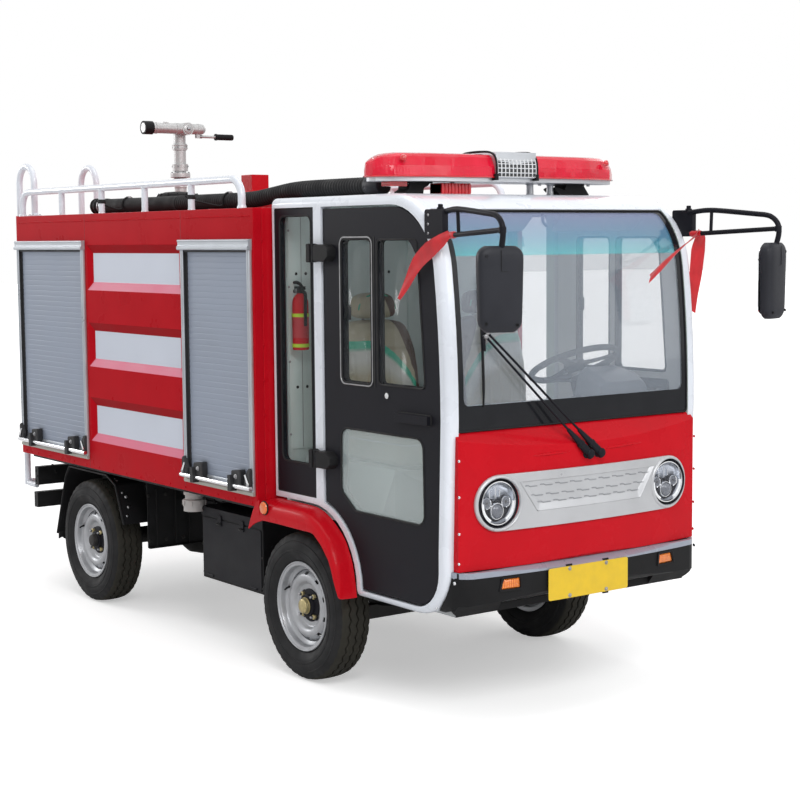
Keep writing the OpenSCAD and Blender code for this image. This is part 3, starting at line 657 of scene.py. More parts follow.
def screw(shape, place, axis, radius, mark=0):
    """A round-headed screw with a cross slot."""
    place = Vector(place)
    axis = Vector(axis).normalized()
    shape.lathe(place, axis, [(radius, -1), (radius, radius * 0.15), (radius * 0.8, radius * 0.4),
                              (radius * 0.4, radius * 0.52), (radius * 0.1, radius * 0.54)], 16, mark)
    side = axis.orthogonal().normalized()
    for way in (side, axis.cross(side)):
        other = axis.cross(way)
        rings = []
        for h in (radius * 0.3, radius * 0.57):
            rings.append([place + axis * h + way * a * radius * 0.5 + other * b * radius * 0.09
                          for a, b in ((-1, -1), (1, -1), (1, 1), (-1, 1))])
        shape.rings(rings, mark + 1)


# The windscreen's section: a large curve below and a tight one at the brow
PANE_RADIUS = 4248
PANE_Z = 1103.6
PANE_START = math.asin((1061 - PANE_Z) / PANE_RADIUS)
PANE_STOP = math.radians(7.3)
PANE_LONG = PANE_RADIUS * (PANE_STOP - PANE_START)
BROW_RADIUS = 294
BROW_STOP = math.radians(53.9)
SCREEN_LONG = PANE_LONG + BROW_RADIUS * (BROW_STOP - PANE_STOP)


def screen_point(y, along, lift=0.0):
    """A place on the windscreen's outer face; along runs from 0 at the bottom edge to 1 at the top."""
    s = along * SCREEN_LONG
    if s < PANE_LONG:
        a = PANE_START + s / PANE_RADIUS
        r = PANE_RADIUS + lift
        return Vector((-3337 + r * math.cos(a), y, PANE_Z + r * math.sin(a)))
    a = PANE_STOP + (s - PANE_LONG) / BROW_RADIUS
    r = BROW_RADIUS + lift
    return Vector((585 + r * math.cos(a), y, 1606 + r * math.sin(a)))


def dense(outline, step):
    """Adds points along the long sides of an outline."""
    points = []
    for i, a in enumerate(outline):
        b = outline[(i + 1) % len(outline)]
        parts = max(1, round(math.dist(a, b) / step))
        points += [(a[0] + (b[0] - a[0]) * k / parts, a[1] + (b[1] - a[1]) * k / parts) for k in range(parts)]
    return points


def screen_sheet(start, stop, parts, mark, shape):
    """A band of the windscreen between two shares of its height."""
    rings = []
    for k in range(parts + 1):
        s = start + (stop - start) * k / parts
        across = [-569.6 + 1139.2 * i / 8 for i in range(9)]
        rings.append([screen_point(y, s) for y in across]
                     + [screen_point(y, s, -5.8) for y in reversed(across)])
    shape.rings(rings, mark, caps=False)


screen = Shape()
TINT_LOW = 0.757
screen_sheet(0, TINT_LOW, 16, 0, screen)
screen_sheet(TINT_LOW, 1, 14, 1, screen)


def tinted(name, alpha):
    """The shaded band at the top of a windscreen, teal at its lower edge and violet above."""
    n = Nodes(name)
    split = n.node("ShaderNodeSeparateXYZ")
    n.join(n.place, split.inputs["Vector"])
    band = n.spread(split.outputs["Z"], 0, 1, 1.66, 1.85)
    ragged = n.node("ShaderNodeMath", operation="MULTIPLY_ADD")
    n.join(n.noise(5, 3, (0.2, 1, 3)), ragged.inputs[0])
    ragged.inputs[1].default_value = 0.12
    n.join(band, ragged.inputs[2])
    color = n.ramp(ragged.outputs["Value"],
                   [(0.0, (0.1, 0.7, 0.72)), (0.22, (0.1, 0.52, 0.6)), (0.5, (0.12, 0.34, 0.52)),
                    (1.0, (0.22, 0.26, 0.48))])
    n.join(color, n.shader.inputs["Base Color"])
    n.set(Roughness=0.05, Alpha=alpha, IOR=2.2)
    n.material.surface_render_method = "BLENDED"
    return n.material


tint_band = tinted("tint_band", 0.5)
# The windscreen's pale blue-grey colour is a painted sky reflection laid over the glass.
screen_painted_sky_haze = glass("screen_painted_sky_haze", (0.4, 0.46, 0.54), 0.28)
piece("windscreen", screen, [screen_painted_sky_haze, tint_band], sharp=60, replaces=["fixed_glass"])

# Black printed border, with the thin seal outside it
outer = rounded_rect(-569, 0.5, 569, SCREEN_LONG - 0.5, 10, 4)
inner = rounded_rect(-541, 92, 541, SCREEN_LONG - 13, 24, 4)
SIDE_PARTS = (28, 28, 28, 28)


def matched(outline, counts, corner=5):
    """Splits the straight sides of a rounded rectangle into even parts, so that two outlines match."""
    points = []
    for k in range(4):
        arc = outline[k * corner:(k + 1) * corner]
        following = outline[(k + 1) * corner % len(outline)]
        points += arc
        last = arc[-1]
        for i in range(1, counts[k]):
            t = i / counts[k]
            points.append((last[0] + (following[0] - last[0]) * t, last[1] + (following[1] - last[1]) * t))
    return points


border = Shape()
outer_line = matched(outer, SIDE_PARTS)
inner_line = matched(inner, SIDE_PARTS)
border_rings = []
for border_line, lift in ((outer_line, 0.5), (inner_line, 0.6), (inner_line, -6.6), (outer_line, -6.5)):
    border_rings.append([screen_point(y, s / SCREEN_LONG, lift) for y, s in border_line])
border.rings(border_rings, 0, caps=False, loop=True)
seal_line = matched(rounded_rect(-566, 3, 566, SCREEN_LONG - 3, 12, 4), SIDE_PARTS)
seal = [screen_point(y, s / SCREEN_LONG, 2.2) for y, s in seal_line]
border.tube(seal + seal[:1], 3.4, 8, 1, caps=False)
frit = finish("printed_border", (0.012, 0.013, 0.016), 0.16, coat=0.25, vary=0.1, size=9, spec=0.2)
piece("windscreen_border", border, [frit, rubber], sharp=50)

# Quarter panes
panes = Shape()
outline = rounded_rect(-166.5, 864.5, 57.5, 1835.5, 30, 6)
panes.rings([side_ring(outline, -604), side_ring(outline, -609)])
panes.mirrored()
piece("quarter_panes", panes, clear_glass, sharp=50)

# Front panel creases and edge screws
creases = Shape()
for y0, y1, z0, z1 in ((-268, -98, 962, 965), (66, 272, 962, 970)):
    path = []
    radii = []
    for k in range(21):
        t = k / 20
        y = y0 + (y1 - y0) * t
        path.append((bow(y) - 0.5, y, z0 + (z1 - z0) * t))
        radii.append(0.4 + 4.6 * math.sin(math.pi * t) ** 0.5)
    creases.tube(path, radii, 10)
piece("panel_creases", creases, red_paint, sharp=80)
screws = Shape()
for x, z in ((938, 966), (938, 838), (937, 707), (935, 600)):
    screw(screws, (x, -585, z), RIGHTWARD, 5.5)
for x, z in ((928, 532), (821, 428)):
    screw(screws, (x, -599.6, z), RIGHTWARD, 6.5)
screws.mirrored()
piece("panel_screws", screws, [chrome, black_paint], bevel=0.3)


# Silver lamp surround
def trim_face(y, lift=0.0):
    """How far forward the silver trim stands, ten millimetres proud of the panel."""
    return PANEL_FRONT - PANEL_RADIUS + math.sqrt((PANEL_RADIUS + 10 + lift) ** 2 - y * y)


bezel = Shape()
for side in (-1, 1):
    rings = []
    for a in around(72):
        ring = []
        for r, h in ((89.8, -7), (90, 1.5), (91.2, 3.8), (94, 5), (97.5, 4), (100.3, 1.6), (101.6, -1.5),
                     (95, -4)):
            y = side * LAMP_Y + r * math.cos(a)
            ring.append((trim_face(y, h), y, LAMP_Z + r * math.sin(a)))
        rings.append(ring)
    bezel.rings(rings, 0, loop=True)


def lip_line(top_y, top_z, low_y, low_z, radius):
    """One side of the pocket, its rounded corner, its floor edge and back up the other side."""
    ring = rounded_outline([(top_y, top_z), (low_y, low_z), (-low_y, low_z), (-top_y, top_z)], radius, 8)
    body = ring[9:27]
    right = [(top_y + (body[0][0] - top_y) * k / 8, top_z + (body[0][1] - top_z) * k / 8) for k in range(8)]
    flat = [(body[8][0] + (body[9][0] - body[8][0]) * k / 24, body[8][1]) for k in range(1, 24)]
    left = [(-y, z) for y, z in reversed(right)]
    return right + body[:9] + flat + body[9:] + left


lip_a = lip_line(333, 873, 256, 762, 16)
lip_b = lip_line(318, 873, 245, 788, 9)
bezel.rings([[(trim_face(y, 0.5), y, z) for y, z in lip_a],
             [(trim_face(y, -1.6), y * 0.985, z + 3) for y, z in lip_a],
             [(trim_face(y, -5.2), y, z) for y, z in lip_b],
             [(trim_face(y, -6.2), y * 0.995, z + 1.5) for y, z in lip_b]], 0, closed=False, caps=False)
for row, (z, half) in enumerate(((857, 316), (822, 292), (795, 258))):
    count = 9 - row
    long = 2 * half / count
    for k in range(count):
        y0 = -half + k * long + 6
        y1 = y0 + long - 14
        bend = y0 + (y1 - y0) * 0.3
        for ya, za, yb, zb in ((y0, z, bend, z), (bend, z, bend + 9, z - 4), (bend + 9, z - 4, y1, z - 4)):
            rings = []
            for m in range(4):
                y = ya + (yb - ya) * m / 3
                zz = za + (zb - za) * m / 3
                rings.append([(trim_face(y, -6.4), y, zz - 2.6), (trim_face(y, -3.4), y, zz - 1.6),
                              (trim_face(y, -3.4), y, zz + 0.6), (trim_face(y, -6.4), y, zz + 1.6)])
            bezel.rings(rings, 1)
line_shadow = finish("line_shadow", (0.3, 0.31, 0.33), 0.4, metal=0.3, vary=0.08)
piece("lamp_surround", bezel, [silver_paint, line_shadow], sharp=40)

# Round headlamps
lens_white = finish("lamp_white", (0.86, 0.88, 0.9), 0.25, vary=0.03, size=30, Emission_Color=(1, 1, 1, 1),
                    Emission_Strength=0.12)
cover_glass = glass("lamp_cover", (0.3, 0.33, 0.35), 0.06, 0.02)
gloss_black = finish("gloss_black", (0.02, 0.02, 0.026), 0.3, vary=0.15, size=20, spec=0.2)
bowl = finish("lamp_bowl", (0.6, 0.64, 0.72), 0.22, metal=0.6, vary=0.04, size=30)
lens_dark = finish("projector_lens", (0.16, 0.17, 0.2), 0.12, metal=0.3, coat=0.5, vary=0.12, size=60)
lamps = Shape()
for side in (-1, 1):
    centre = Vector((0, side * LAMP_Y, LAMP_Z))
    lamps.lathe(centre, FORWARD,
                [(89.4, 905), (89.4, 960), (87.6, 961), (84, 951), (80.5, 940), (60, 918), (20, 905)],
                56, 0)
    lamps.lathe(centre, FORWARD,
                [(80.2, 940), (80.4, 955), (79, 958.5), (75.5, 959), (74.5, 955), (73, 945)],
                56, 1, caps=False)
    rows = ((74, 953), (71, 942), (64, 932), (52, 925), (34, 921), (14, 919.5), (2, 919))
    rings = []
    for r, x in rows:
        ring = []
        for a in around(56):
            ring.append((x, centre.y + r * math.cos(a), centre.z + r * math.sin(a)))
        rings.append(ring)
    lamps.rings(rings, 5, caps=False)
    mask = rounded_outline([(-70, -20), (-70, 6), (-50, 24), (-26, 18), (-13, 4), (0, 12), (13, 4),
                            (26, 18), (50, 24), (70, 6), (70, -20), (44, -58), (0, -72), (-44, -58)],
                           5, 3)
    rings = []
    for x, k in ((919, 1.0), (938, 1.0), (941, 0.965)):
        rings.append([(x, centre.y + y * k, centre.z + z * k) for y, z in mask])
    lamps.rings(rings, 0)
    low = centre + Vector((0, 0, -30))
    lamps.lathe(low, FORWARD, [(31, 938), (31, 946), (29.5, 949), (27.5, 949), (26, 944)], 36, 1, caps=False)
    lamps.lathe(low, FORWARD, [(26.5, 942), (25, 948), (20, 953), (12, 956.5), (3, 957.5)], 36, 2)
    for ear in (-1, 1):
        cup = centre + Vector((0, ear * 44, 0))
        lamps.lathe(cup, FORWARD, [(21, 938), (21, 944), (19.5, 946), (18, 944), (17, 941)], 28, 1,
                    caps=False)
        lamps.lathe(cup, FORWARD, [(18, 943), (14, 940.8), (8, 939.6), (1, 939.4)], 28, 2)
        lamps.box((939, 943), (cup.y - 5, cup.y + 5), (cup.z - 5, cup.z + 5), 3)
        path = []
        for k in range(15):
            a = math.radians(-90 + ear * (30 + 62 * k / 14))
            path.append((953, centre.y + 70 * math.cos(a), centre.z + 70 * math.sin(a)))
        lamps.tube(path, 4.6, 10, 3)
    for k in (-24, 0, 24):
        lamps.box((921, 933 + (4 if k == 0 else 0)), (centre.y + k - 1.2, centre.y + k + 1.2),
                  (centre.z + 16, centre.z + 56 - abs(k) * 0.5), 1)
    lamps.lathe(centre, FORWARD, [(75.5, 957), (70, 961), (52, 964.5), (28, 966), (3, 966.5)],
                56, 4, caps=False)
piece("headlamp_units", lamps, [gloss_black, chrome, lens_dark, lens_white, cover_glass, bowl],
      sharp=38, replaces=["headlamps"])


# Bumper ledge, plate and its fixings
def bumper_front(y):
    """How far forward the bumper stands, with its rounded corners."""
    across = abs(y)
    if across < 526:
        return bow(y, BUMPER_FRONT, BUMPER_RADIUS)
    return 879.6 + math.sqrt(max(0.0, 88 ** 2 - (across - 512) ** 2))


ledge = Shape()
rings = []
for k in range(81):
    y = -594 + 1188 * k / 80
    front = bumper_front(y)
    back = min(front, 972)
    edge = min(565.4, 546 + (1010 - front) * 0.5)
    rings.append([(front - 6, y, 545), (front + 0.9, y, 545), (front + 1.0, y, edge),
                  (back + 0.5, y, 566), (back - 16, y, 566.5), (back - 16, y, 560)])
ledge.rings(rings)
# The ledge's grey is a painted sky reflection along the black bumper's top edge.
ledge_painted_sky_grey = finish("ledge_painted_sky_grey", (0.3, 0.33, 0.4), 0.28, coat=0.4, vary=0.06, grain=0.04, grain_size=500)
piece("bumper_ledge", ledge, ledge_painted_sky_grey, sharp=28)

plate = Shape()
outline = rounded_rect(-228, 431, 165, 549, 9, 4)
rim = rounded_rect(-222, 437, 159, 543, 6, 4)
field = rounded_rect(-219, 440, 156, 540, 5, 4)
plate.rings([front_ring(outline, 1003.6), front_ring(outline, 1006.2),
             front_ring(rim, 1006.8), front_ring(field, 1005.8)], 0)
for y in (-126, 55):
    for z in (440.5, 540):
        plate.lathe((1005.6, y, z), FORWARD, [(8, 0), (8, 1.6), (7, 2.2)], 20, 1)
        plate.lathe((1005.6, y, z), FORWARD, [(5.5, 1.8), (5.4, 4), (3.8, 5.4), (1, 5.8)], 16, 1)
    plate.box((999, 1004), (y - 14, y + 14), (424, 556), 2)
piece("plate", plate, [yellow_plate, steel, black_paint], bevel=0.5)

# Lamps at the corners
lens_lines = Nodes("amber_ribs")
wave = lens_lines.node("ShaderNodeTexWave", wave_type="BANDS", bands_direction="Y")
wave.inputs["Scale"].default_value = 40
wave.inputs["Distortion"].default_value = 0
lens_lines.join(lens_lines.place, wave.inputs["Vector"])
lens_lines.join(lens_lines.ramp(wave.outputs["Fac"],
                                [(0.0, (0.62, 0.09, 0.003)), (0.6, (0.88, 0.2, 0.01)),
                                 (1.0, (0.95, 0.34, 0.05))]), lens_lines.shader.inputs["Base Color"])
lens_lines.join(lens_lines.bump(wave.outputs["Fac"], 0.001), lens_lines.shader.inputs["Normal"])
lens_lines.set(Roughness=0.18, Coat_Weight=0.8)
amber_ribs = lens_lines.material
signals = Shape()


def leaned(outline, x):
    """An outline on the bumper's face, which slants back to the sides."""
    return [(x + (390 - abs(y)) * 0.105, y, z) for y, z in outline]


for side in (-1, 1):
    face = bow(390, BUMPER_FRONT, BUMPER_RADIUS)
    shell = rounded_outline([(side * 337, 487), (side * 341, 541), (side * 427, 541), (side * 441, 487)],
                            7, 4)
    hole = rounded_outline([(side * 345, 495), (side * 348, 533), (side * 418, 533), (side * 431, 495)], 5, 4)
    crest = [(x, y * 0.995, z) for x, y, z in leaned(shell, face + 4.6)]
    signals.rings([leaned(shell, face - 12), leaned(shell, face + 3.2), crest, leaned(hole, face + 3),
                   leaned(hole, face - 11)], 1, caps=False, loop=True)
    inner = rounded_outline([(side * 351, 500), (side * 354, 528), (side * 413, 528), (side * 424, 500)],
                            4, 4)
    signals.rings([leaned(hole, face - 14), leaned(hole, face - 4), leaned(inner, face + 0.6)], 0)
piece("front_indicators", signals, [amber_ribs, black_plastic], sharp=35,
      replaces=["signal_lamps"])

markers = Shape()
spot = Vector((-171, -704, 675))
markers.lathe(spot, RIGHTWARD, [(29, -1), (29, 2.5), (27, 4), (25.6, 4)], 40, 1)
markers.lathe(spot, RIGHTWARD, [(25.6, 1), (25, 6), (22, 9.4), (12, 11), (3, 11.4)], 40, 0)
for turn in (0, 90):
    way = Matrix.Rotation(math.radians(turn), 3, "Y") @ Vector(FORWARD)
    other = way.cross(Vector(LEFTWARD))
    for d in (-14, -7, 0, 7, 14):
        long = math.sqrt(23 ** 2 - d * d)
        path = []
        for k in range(7):
            t = -1 + k / 3
            height = 11.0 - 4.2 * ((t * long) ** 2 + d * d) / 25 ** 2
            path.append(spot + way * t * long + other * d + Vector((0, -height, 0)))
        markers.tube(path, 0.9, 6, 0)
markers.mirrored()
piece("side_markers", markers, [amber, black_plastic], sharp=35)

tails = Shape()
white_lens = finish("clear_lens", (0.75, 0.76, 0.78), 0.15, coat=0.8, vary=0.08, size=50)
for y0, y1, mark in ((500, 546, 0), (546, 584, 1), (584, 620, 2)):
    outline = rounded_rect(y0 + 1.5, 524, y1 - 1.5, 581, 4, 3)
    inside = rounded_rect(y0 + 5, 528, y1 - 5, 577, 3, 3)
    tails.rings([front_ring(outline, -2496), front_ring(outline, -2511), front_ring(inside, -2516)], mark)
    for k in range(1, 6):
        z = 524 + 57 * k / 6
        tails.box((-2517, -2513), (y0 + 6, y1 - 6), (z - 1.2, z + 1.2), mark)
outline = rounded_rect(496, 519, 624, 586, 7, 4)
tails.rings([front_ring(outline, -2490), front_ring(outline, -2500)], 3)
tails.mirrored()
piece("tail_lamps", tails, [red_lens, amber, white_lens, black_plastic], sharp=35)


# Wipers
def bar_box(shape, start, end, up, wide, thick, mark=0):
    """A straight tapered bar; wide and thick give both ends."""
    start = Vector(start)
    end = Vector(end)
    ahead = (end - start).normalized()
    side = ahead.cross(Vector(up)).normalized()
    top = side.cross(ahead)
    rings = []
    for p, w, h in ((start, wide[0], thick[0]), (end, wide[1], thick[1])):
        ring = []
        for a, b in ((-1, -0.5), (-0.7, -1), (0.7, -1), (1, -0.5), (1, 0.5), (0.6, 1), (-0.6, 1), (-1, 0.5)):
            ring.append(p + side * a * w / 2 + top * b * h / 2)
        rings.append(ring)
    return shape.rings(rings, mark)


BLADE_Y = -455
wiper = Shape()
for pivot_y, end in ((-15, (924, -452, 1398)), (39, (926, -446, 1412))):
    pivot = Vector((bow(pivot_y) + 14, pivot_y, 952))
    top = Vector(end)
    ahead = (top - pivot).normalized()
    wiper.lathe((bow(pivot_y) - 2, pivot_y, 952), FORWARD,
                [(19, 0), (19, 5), (14, 8), (14, 18), (17, 20), (17, 27), (13, 31), (4, 32)], 28, 0)
    bar_box(wiper, pivot - ahead * 15, pivot + ahead * 52, FORWARD, (30, 27), (22, 20))
    bar_box(wiper, pivot + ahead * 50, pivot + ahead * 132, FORWARD, (25, 14), (18, 11))
    bar_box(wiper, pivot + ahead * 46, pivot + ahead * 58, FORWARD, (31, 31), (17, 17), 2)
    wiper.tube([pivot + ahead * 120, pivot + ahead * 300, top], 4.6, 10, 0)
    wiper.lathe(top - Vector((10, 0, 0)), FORWARD, [(9, 0), (9, 16), (6, 19), (2, 19.5)], 18, 1)
bar_box(wiper, (924, -456, 1392), (926, -442, 1420), FORWARD, (16, 16), (6, 6), 2)
wiper.tube([(928, -449, 1405), (916, -455, 1405), (908, -455, 1405)], [7, 7, 6], 10, 2)
rings = []
for k in range(25):
    t = k / 24
    s = 0.105 + 0.575 * t
    fat = min(1, 5 * min(t, 1 - t) + 0.35)
    base = screen_point(BLADE_Y, s)
    out = (screen_point(BLADE_Y, s, 10) - base) / 10
    ring = []
    for side_y, lift in ((-1.2, 0.5), (-4.5 * fat, 4), (-4.5 * fat, 4 + 5 * fat), (-2, 5 + 7 * fat),
                         (2, 5 + 7 * fat), (4.5 * fat, 4 + 5 * fat), (4.5 * fat, 4), (1.2, 0.5)):
        ring.append(base + out * lift + Vector((0, side_y, 0)))
    rings.append(ring)
wiper.rings(rings, 3)
bar_box(wiper, screen_point(BLADE_Y, 0.345, 15), screen_point(BLADE_Y, 0.43, 15), FORWARD, (15, 15),
        (9, 9), 0)
piece("wiper_set", wiper, [black_paint, steel, black_plastic, rubber], bevel=0.7,
      replaces=["wipers"])

# Mirrors on their arms
mirror = Shape()
outline = rounded_rect(796, 1743, 903, 1846, 9, 4)
mirror.rings([side_ring(outline, -600), side_ring(outline, -621),
              side_ring(outline, -624, (850, 1794), (0.96, 0.96))], 0)
mirror.lathe((874, -611, 1844), UPWARD, [(13, 0), (13, 7), (9, 8), (9, 17), (7, 19)], 20, 0)
for z in (1762, 1794, 1826):
    screw(mirror, (820, -624, z), RIGHTWARD, 5, 1)
upper = [(882, -603, 1836), (905, -607, 1838), (960, -617, 1843), (1020, -628, 1841), (1180, -654, 1826),
         (1226, -661, 1821), (1252, -664, 1812), (1272, -667, 1794), (1281, -668, 1772),
         (1280, -668, 1745), (1272, -666, 1715), (1264, -664, 1692)]
mirror.tube(smooth_path(upper, 5), 10, 14, 0)
mirror.tube([(885, -601, 1752), (905, -605, 1753), (1280, -667.5, 1770)], 9, 14, 0)
mirror.tube([(985, -618, 1757), (985, -622, 1842)], 6.5, 12, 0)
mirror.lathe((1279, -667.5, 1758), UPWARD, [(12.5, 0), (12.5, 22)], 16, 0)
swing = spun((1258, -663, 1576), math.radians(-18), "Z")


def head_ring(t):
    """One level of a mirror housing; t runs from -1 at the bottom to 1 at the top."""
    z = 142 * t
    close = max(0.0, (abs(t) - 0.72) / 0.28)
    rounding = math.sqrt(max(0.0, 1 - close * close * 0.86))
    wide = (82 - 7 * (1 - t) / 2) * (0.42 + 0.58 * rounding)
    deep = (31 - 3 * (1 - t) / 2) * (0.3 + 0.7 * rounding)
    ring = []
    for a in around(40):
        c = math.cos(a)
        s = math.sin(a)
        y = wide * math.copysign(abs(c) ** 0.55, c)
        x = deep * math.copysign(abs(s) ** 0.62, s)
        if s < 0:
            x = max(x, -27)
        ring.append(swing @ Vector((x, y, z)))
    return ring


levels = [-1, -0.985, -0.955, -0.91, -0.85, -0.78, -0.6, -0.3, 0, 0.3, 0.6, 0.78, 0.85, 0.91, 0.955, 0.985, 1]
mirror.rings([head_ring(t) for t in levels], 3)
glass_plate = rounded_rect(-70, -124, 70, 124, 30, 6)
mirror.rings([[swing @ Vector((-26, y, z)) for y, z in glass_plate],
              [swing @ Vector((-28.5, y, z)) for y, z in glass_plate]], 4)
seam = [swing @ Vector((29.6 - 0.0009 * (y + 6) ** 2, y, 58)) for y in (-6, 8, 22, 36)]
mirror.tube([swing @ Vector((30.6, -6, 128)), swing @ Vector((31.4, -6, 100)),
             swing @ Vector((31, -6, 60))], 1.1, 6, 2)
mirror.tube(seam, 1.1, 6, 2)
mirror.lathe((1262, -664, 1688), UPWARD, [(19, 0), (19, 18), (16, 26), (12, 30)], 24, 2)
for y, z in ((-58, -112), (52, -118), (-56, 108)):
    mirror.lathe(swing @ Vector((25, y, z)), swing.to_3x3() @ Vector(FORWARD),
                 [(5, 0), (5, 3.4), (3.6, 3.4), (3, 1)], 14, 2)
mirror.mirrored()
mirror_silver = finish("mirror_silver", (0.8, 0.82, 0.84), 0.03, metal=1.0, vary=0.02)
piece("mirror_set", mirror, [black_paint, steel, black_plastic, dark_grey, mirror_silver],
      sharp=40, replaces=["mirrors"])


# Red ribbons tied to the lower mirror arms
def satin(name, color):
    """Shiny woven cloth."""
    n = Nodes(name)
    folds = n.noise(26, 3, (1, 1, 0.35))
    weave = n.node("ShaderNodeTexWave", wave_type="BANDS", bands_direction="DIAGONAL")
    weave.inputs["Scale"].default_value = 700
    n.join(n.place, weave.inputs["Vector"])
    n.join(n.ramp(folds, [(0.3, shade(color, 0.75)), (0.6, color), (0.8, shade(color, 1.25))]),
           n.shader.inputs["Base Color"])
    n.join(n.bump(weave.outputs["Fac"], 0.0002, 0.5), n.shader.inputs["Normal"])
    n.join(n.spread(folds, 0.32, 0.5), n.shader.inputs["Roughness"])
    n.set(Sheen_Weight=0.35, Sheen_Roughness=0.35)
    return n.material


ribbon_red = satin("ribbon_satin", (0.62, 0.012, 0.02))


def ribbon(name, path, widths, flat_side, notch):
    """A strip of cloth along a path; flat_side is the direction of its width at each point."""
    line = smooth_path(path, 8)
    parts = len(line) - 1
    shape = Shape()
    rings = []
    for k, p in enumerate(line):
        t = k / parts
        span = t * (len(widths) - 1)
        i = min(int(span), len(widths) - 2)
        w = widths[i] + (widths[i + 1] - widths[i]) * (span - i)
        a = Vector(flat_side[i]).normalized()
        b = Vector(flat_side[i + 1]).normalized()
        way = a.lerp(b, span - i).normalized()
        ahead = (line[min(k + 1, parts)] - line[max(k - 1, 0)]).normalized()
        way = (way - ahead * way.dot(ahead)).normalized()
        normal = ahead.cross(way)
        ring = []
        for j in range(9):
            u = -1 + j / 4
            tip = notch * abs(u) if k == parts else 0
            ring.append(p + way * u * w / 2 + normal * (2.2 * math.sin(u * 2.6 + t * 9)) + ahead * tip)
        rings.append(ring)
    shape.rings(rings, 0, closed=False, caps=False)
    made = piece(name, shape, ribbon_red, sharp=180)
    return made


wrap = [(10, -24), (12.5, -18), (11, -8), (13, 2), (11.5, 12), (12.5, 19), (10, 25)]
knot = Shape().lathe((936, -610, 1755), (0.98, -0.16, 0.04), wrap, 20)
piece("ribbon_wrap_right", knot, ribbon_red, sharp=60)
ribbon("ribbon_right",
       [(936, -622, 1760), (905, -632, 1738), (850, -642, 1704), (780, -644, 1656), (722, -646, 1586),
        (681, -652, 1531)], [26, 46, 58, 52, 34, 12],
       [(0.6, 0, -0.8), (0.62, 0.1, -0.78), (0.6, 0.2, -0.76), (0.7, 0.2, -0.68), (0.8, 0.2, -0.55),
        (0.8, 0.2, -0.55)], 4)
knot = Shape().lathe((918, 607, 1754), (0.98, 0.16, 0.04), wrap, 20)
piece("ribbon_wrap_left", knot, ribbon_red, sharp=60)
ribbon("ribbon_left_down",
       [(918, 622, 1752), (908, 640, 1735), (892, 646, 1690), (880, 646, 1600), (868, 645, 1520),
        (858, 645, 1452)], [24, 44, 56, 52, 44, 40],
       [(0.3, 1, 0), (0.5, 1, 0), (0.6, 1, 0), (0.5, 1, 0), (0.45, 1, 0), (0.5, 1, 0)], 10)
ribbon("ribbon_left_side",
       [(930, 606, 1764), (946, 580, 1752), (962, 510, 1716), (972, 430, 1672), (978, 360, 1632),
        (982, 300, 1592)], [18, 26, 26, 26, 36, 44],
       [(0.2, 0.4, 1), (0.3, 0.4, 0.9), (0.5, 0.4, 0.8), (0.3, 0.5, 0.9), (0.2, 0.5, 0.9),
        (0.2, 0.5, 0.9)], 12)


# Doors: seals, trims, handles and inner sides
def outline_tube(shape, outline, y, radius, mark=0, sides=8):
    """A bead that follows a closed outline on a side face."""
    line = dense(outline, 30)
    line += line[:2]
    shape.tube([(x, y, z) for x, z in line], radius, sides, mark, caps=False)


rear_pane = rounded_rect(260, 1206, 456, 1744, 22, 5)
front_pane = rounded_outline([(494, 1210), (784, 1210), (737, 1742), (494, 1742)], 22, 5)
low_pane = rounded_outline([(251, 1030), (769, 1030), (775, 716), (342, 717), (246, 785)], 40, 6)

# A pale sheet laid on the lower door panes: painted light that brightens the view through them.
pane_painted_light = glass("low_pane_painted_light", (0.62, 0.72, 0.72), 0.36, 0.12)


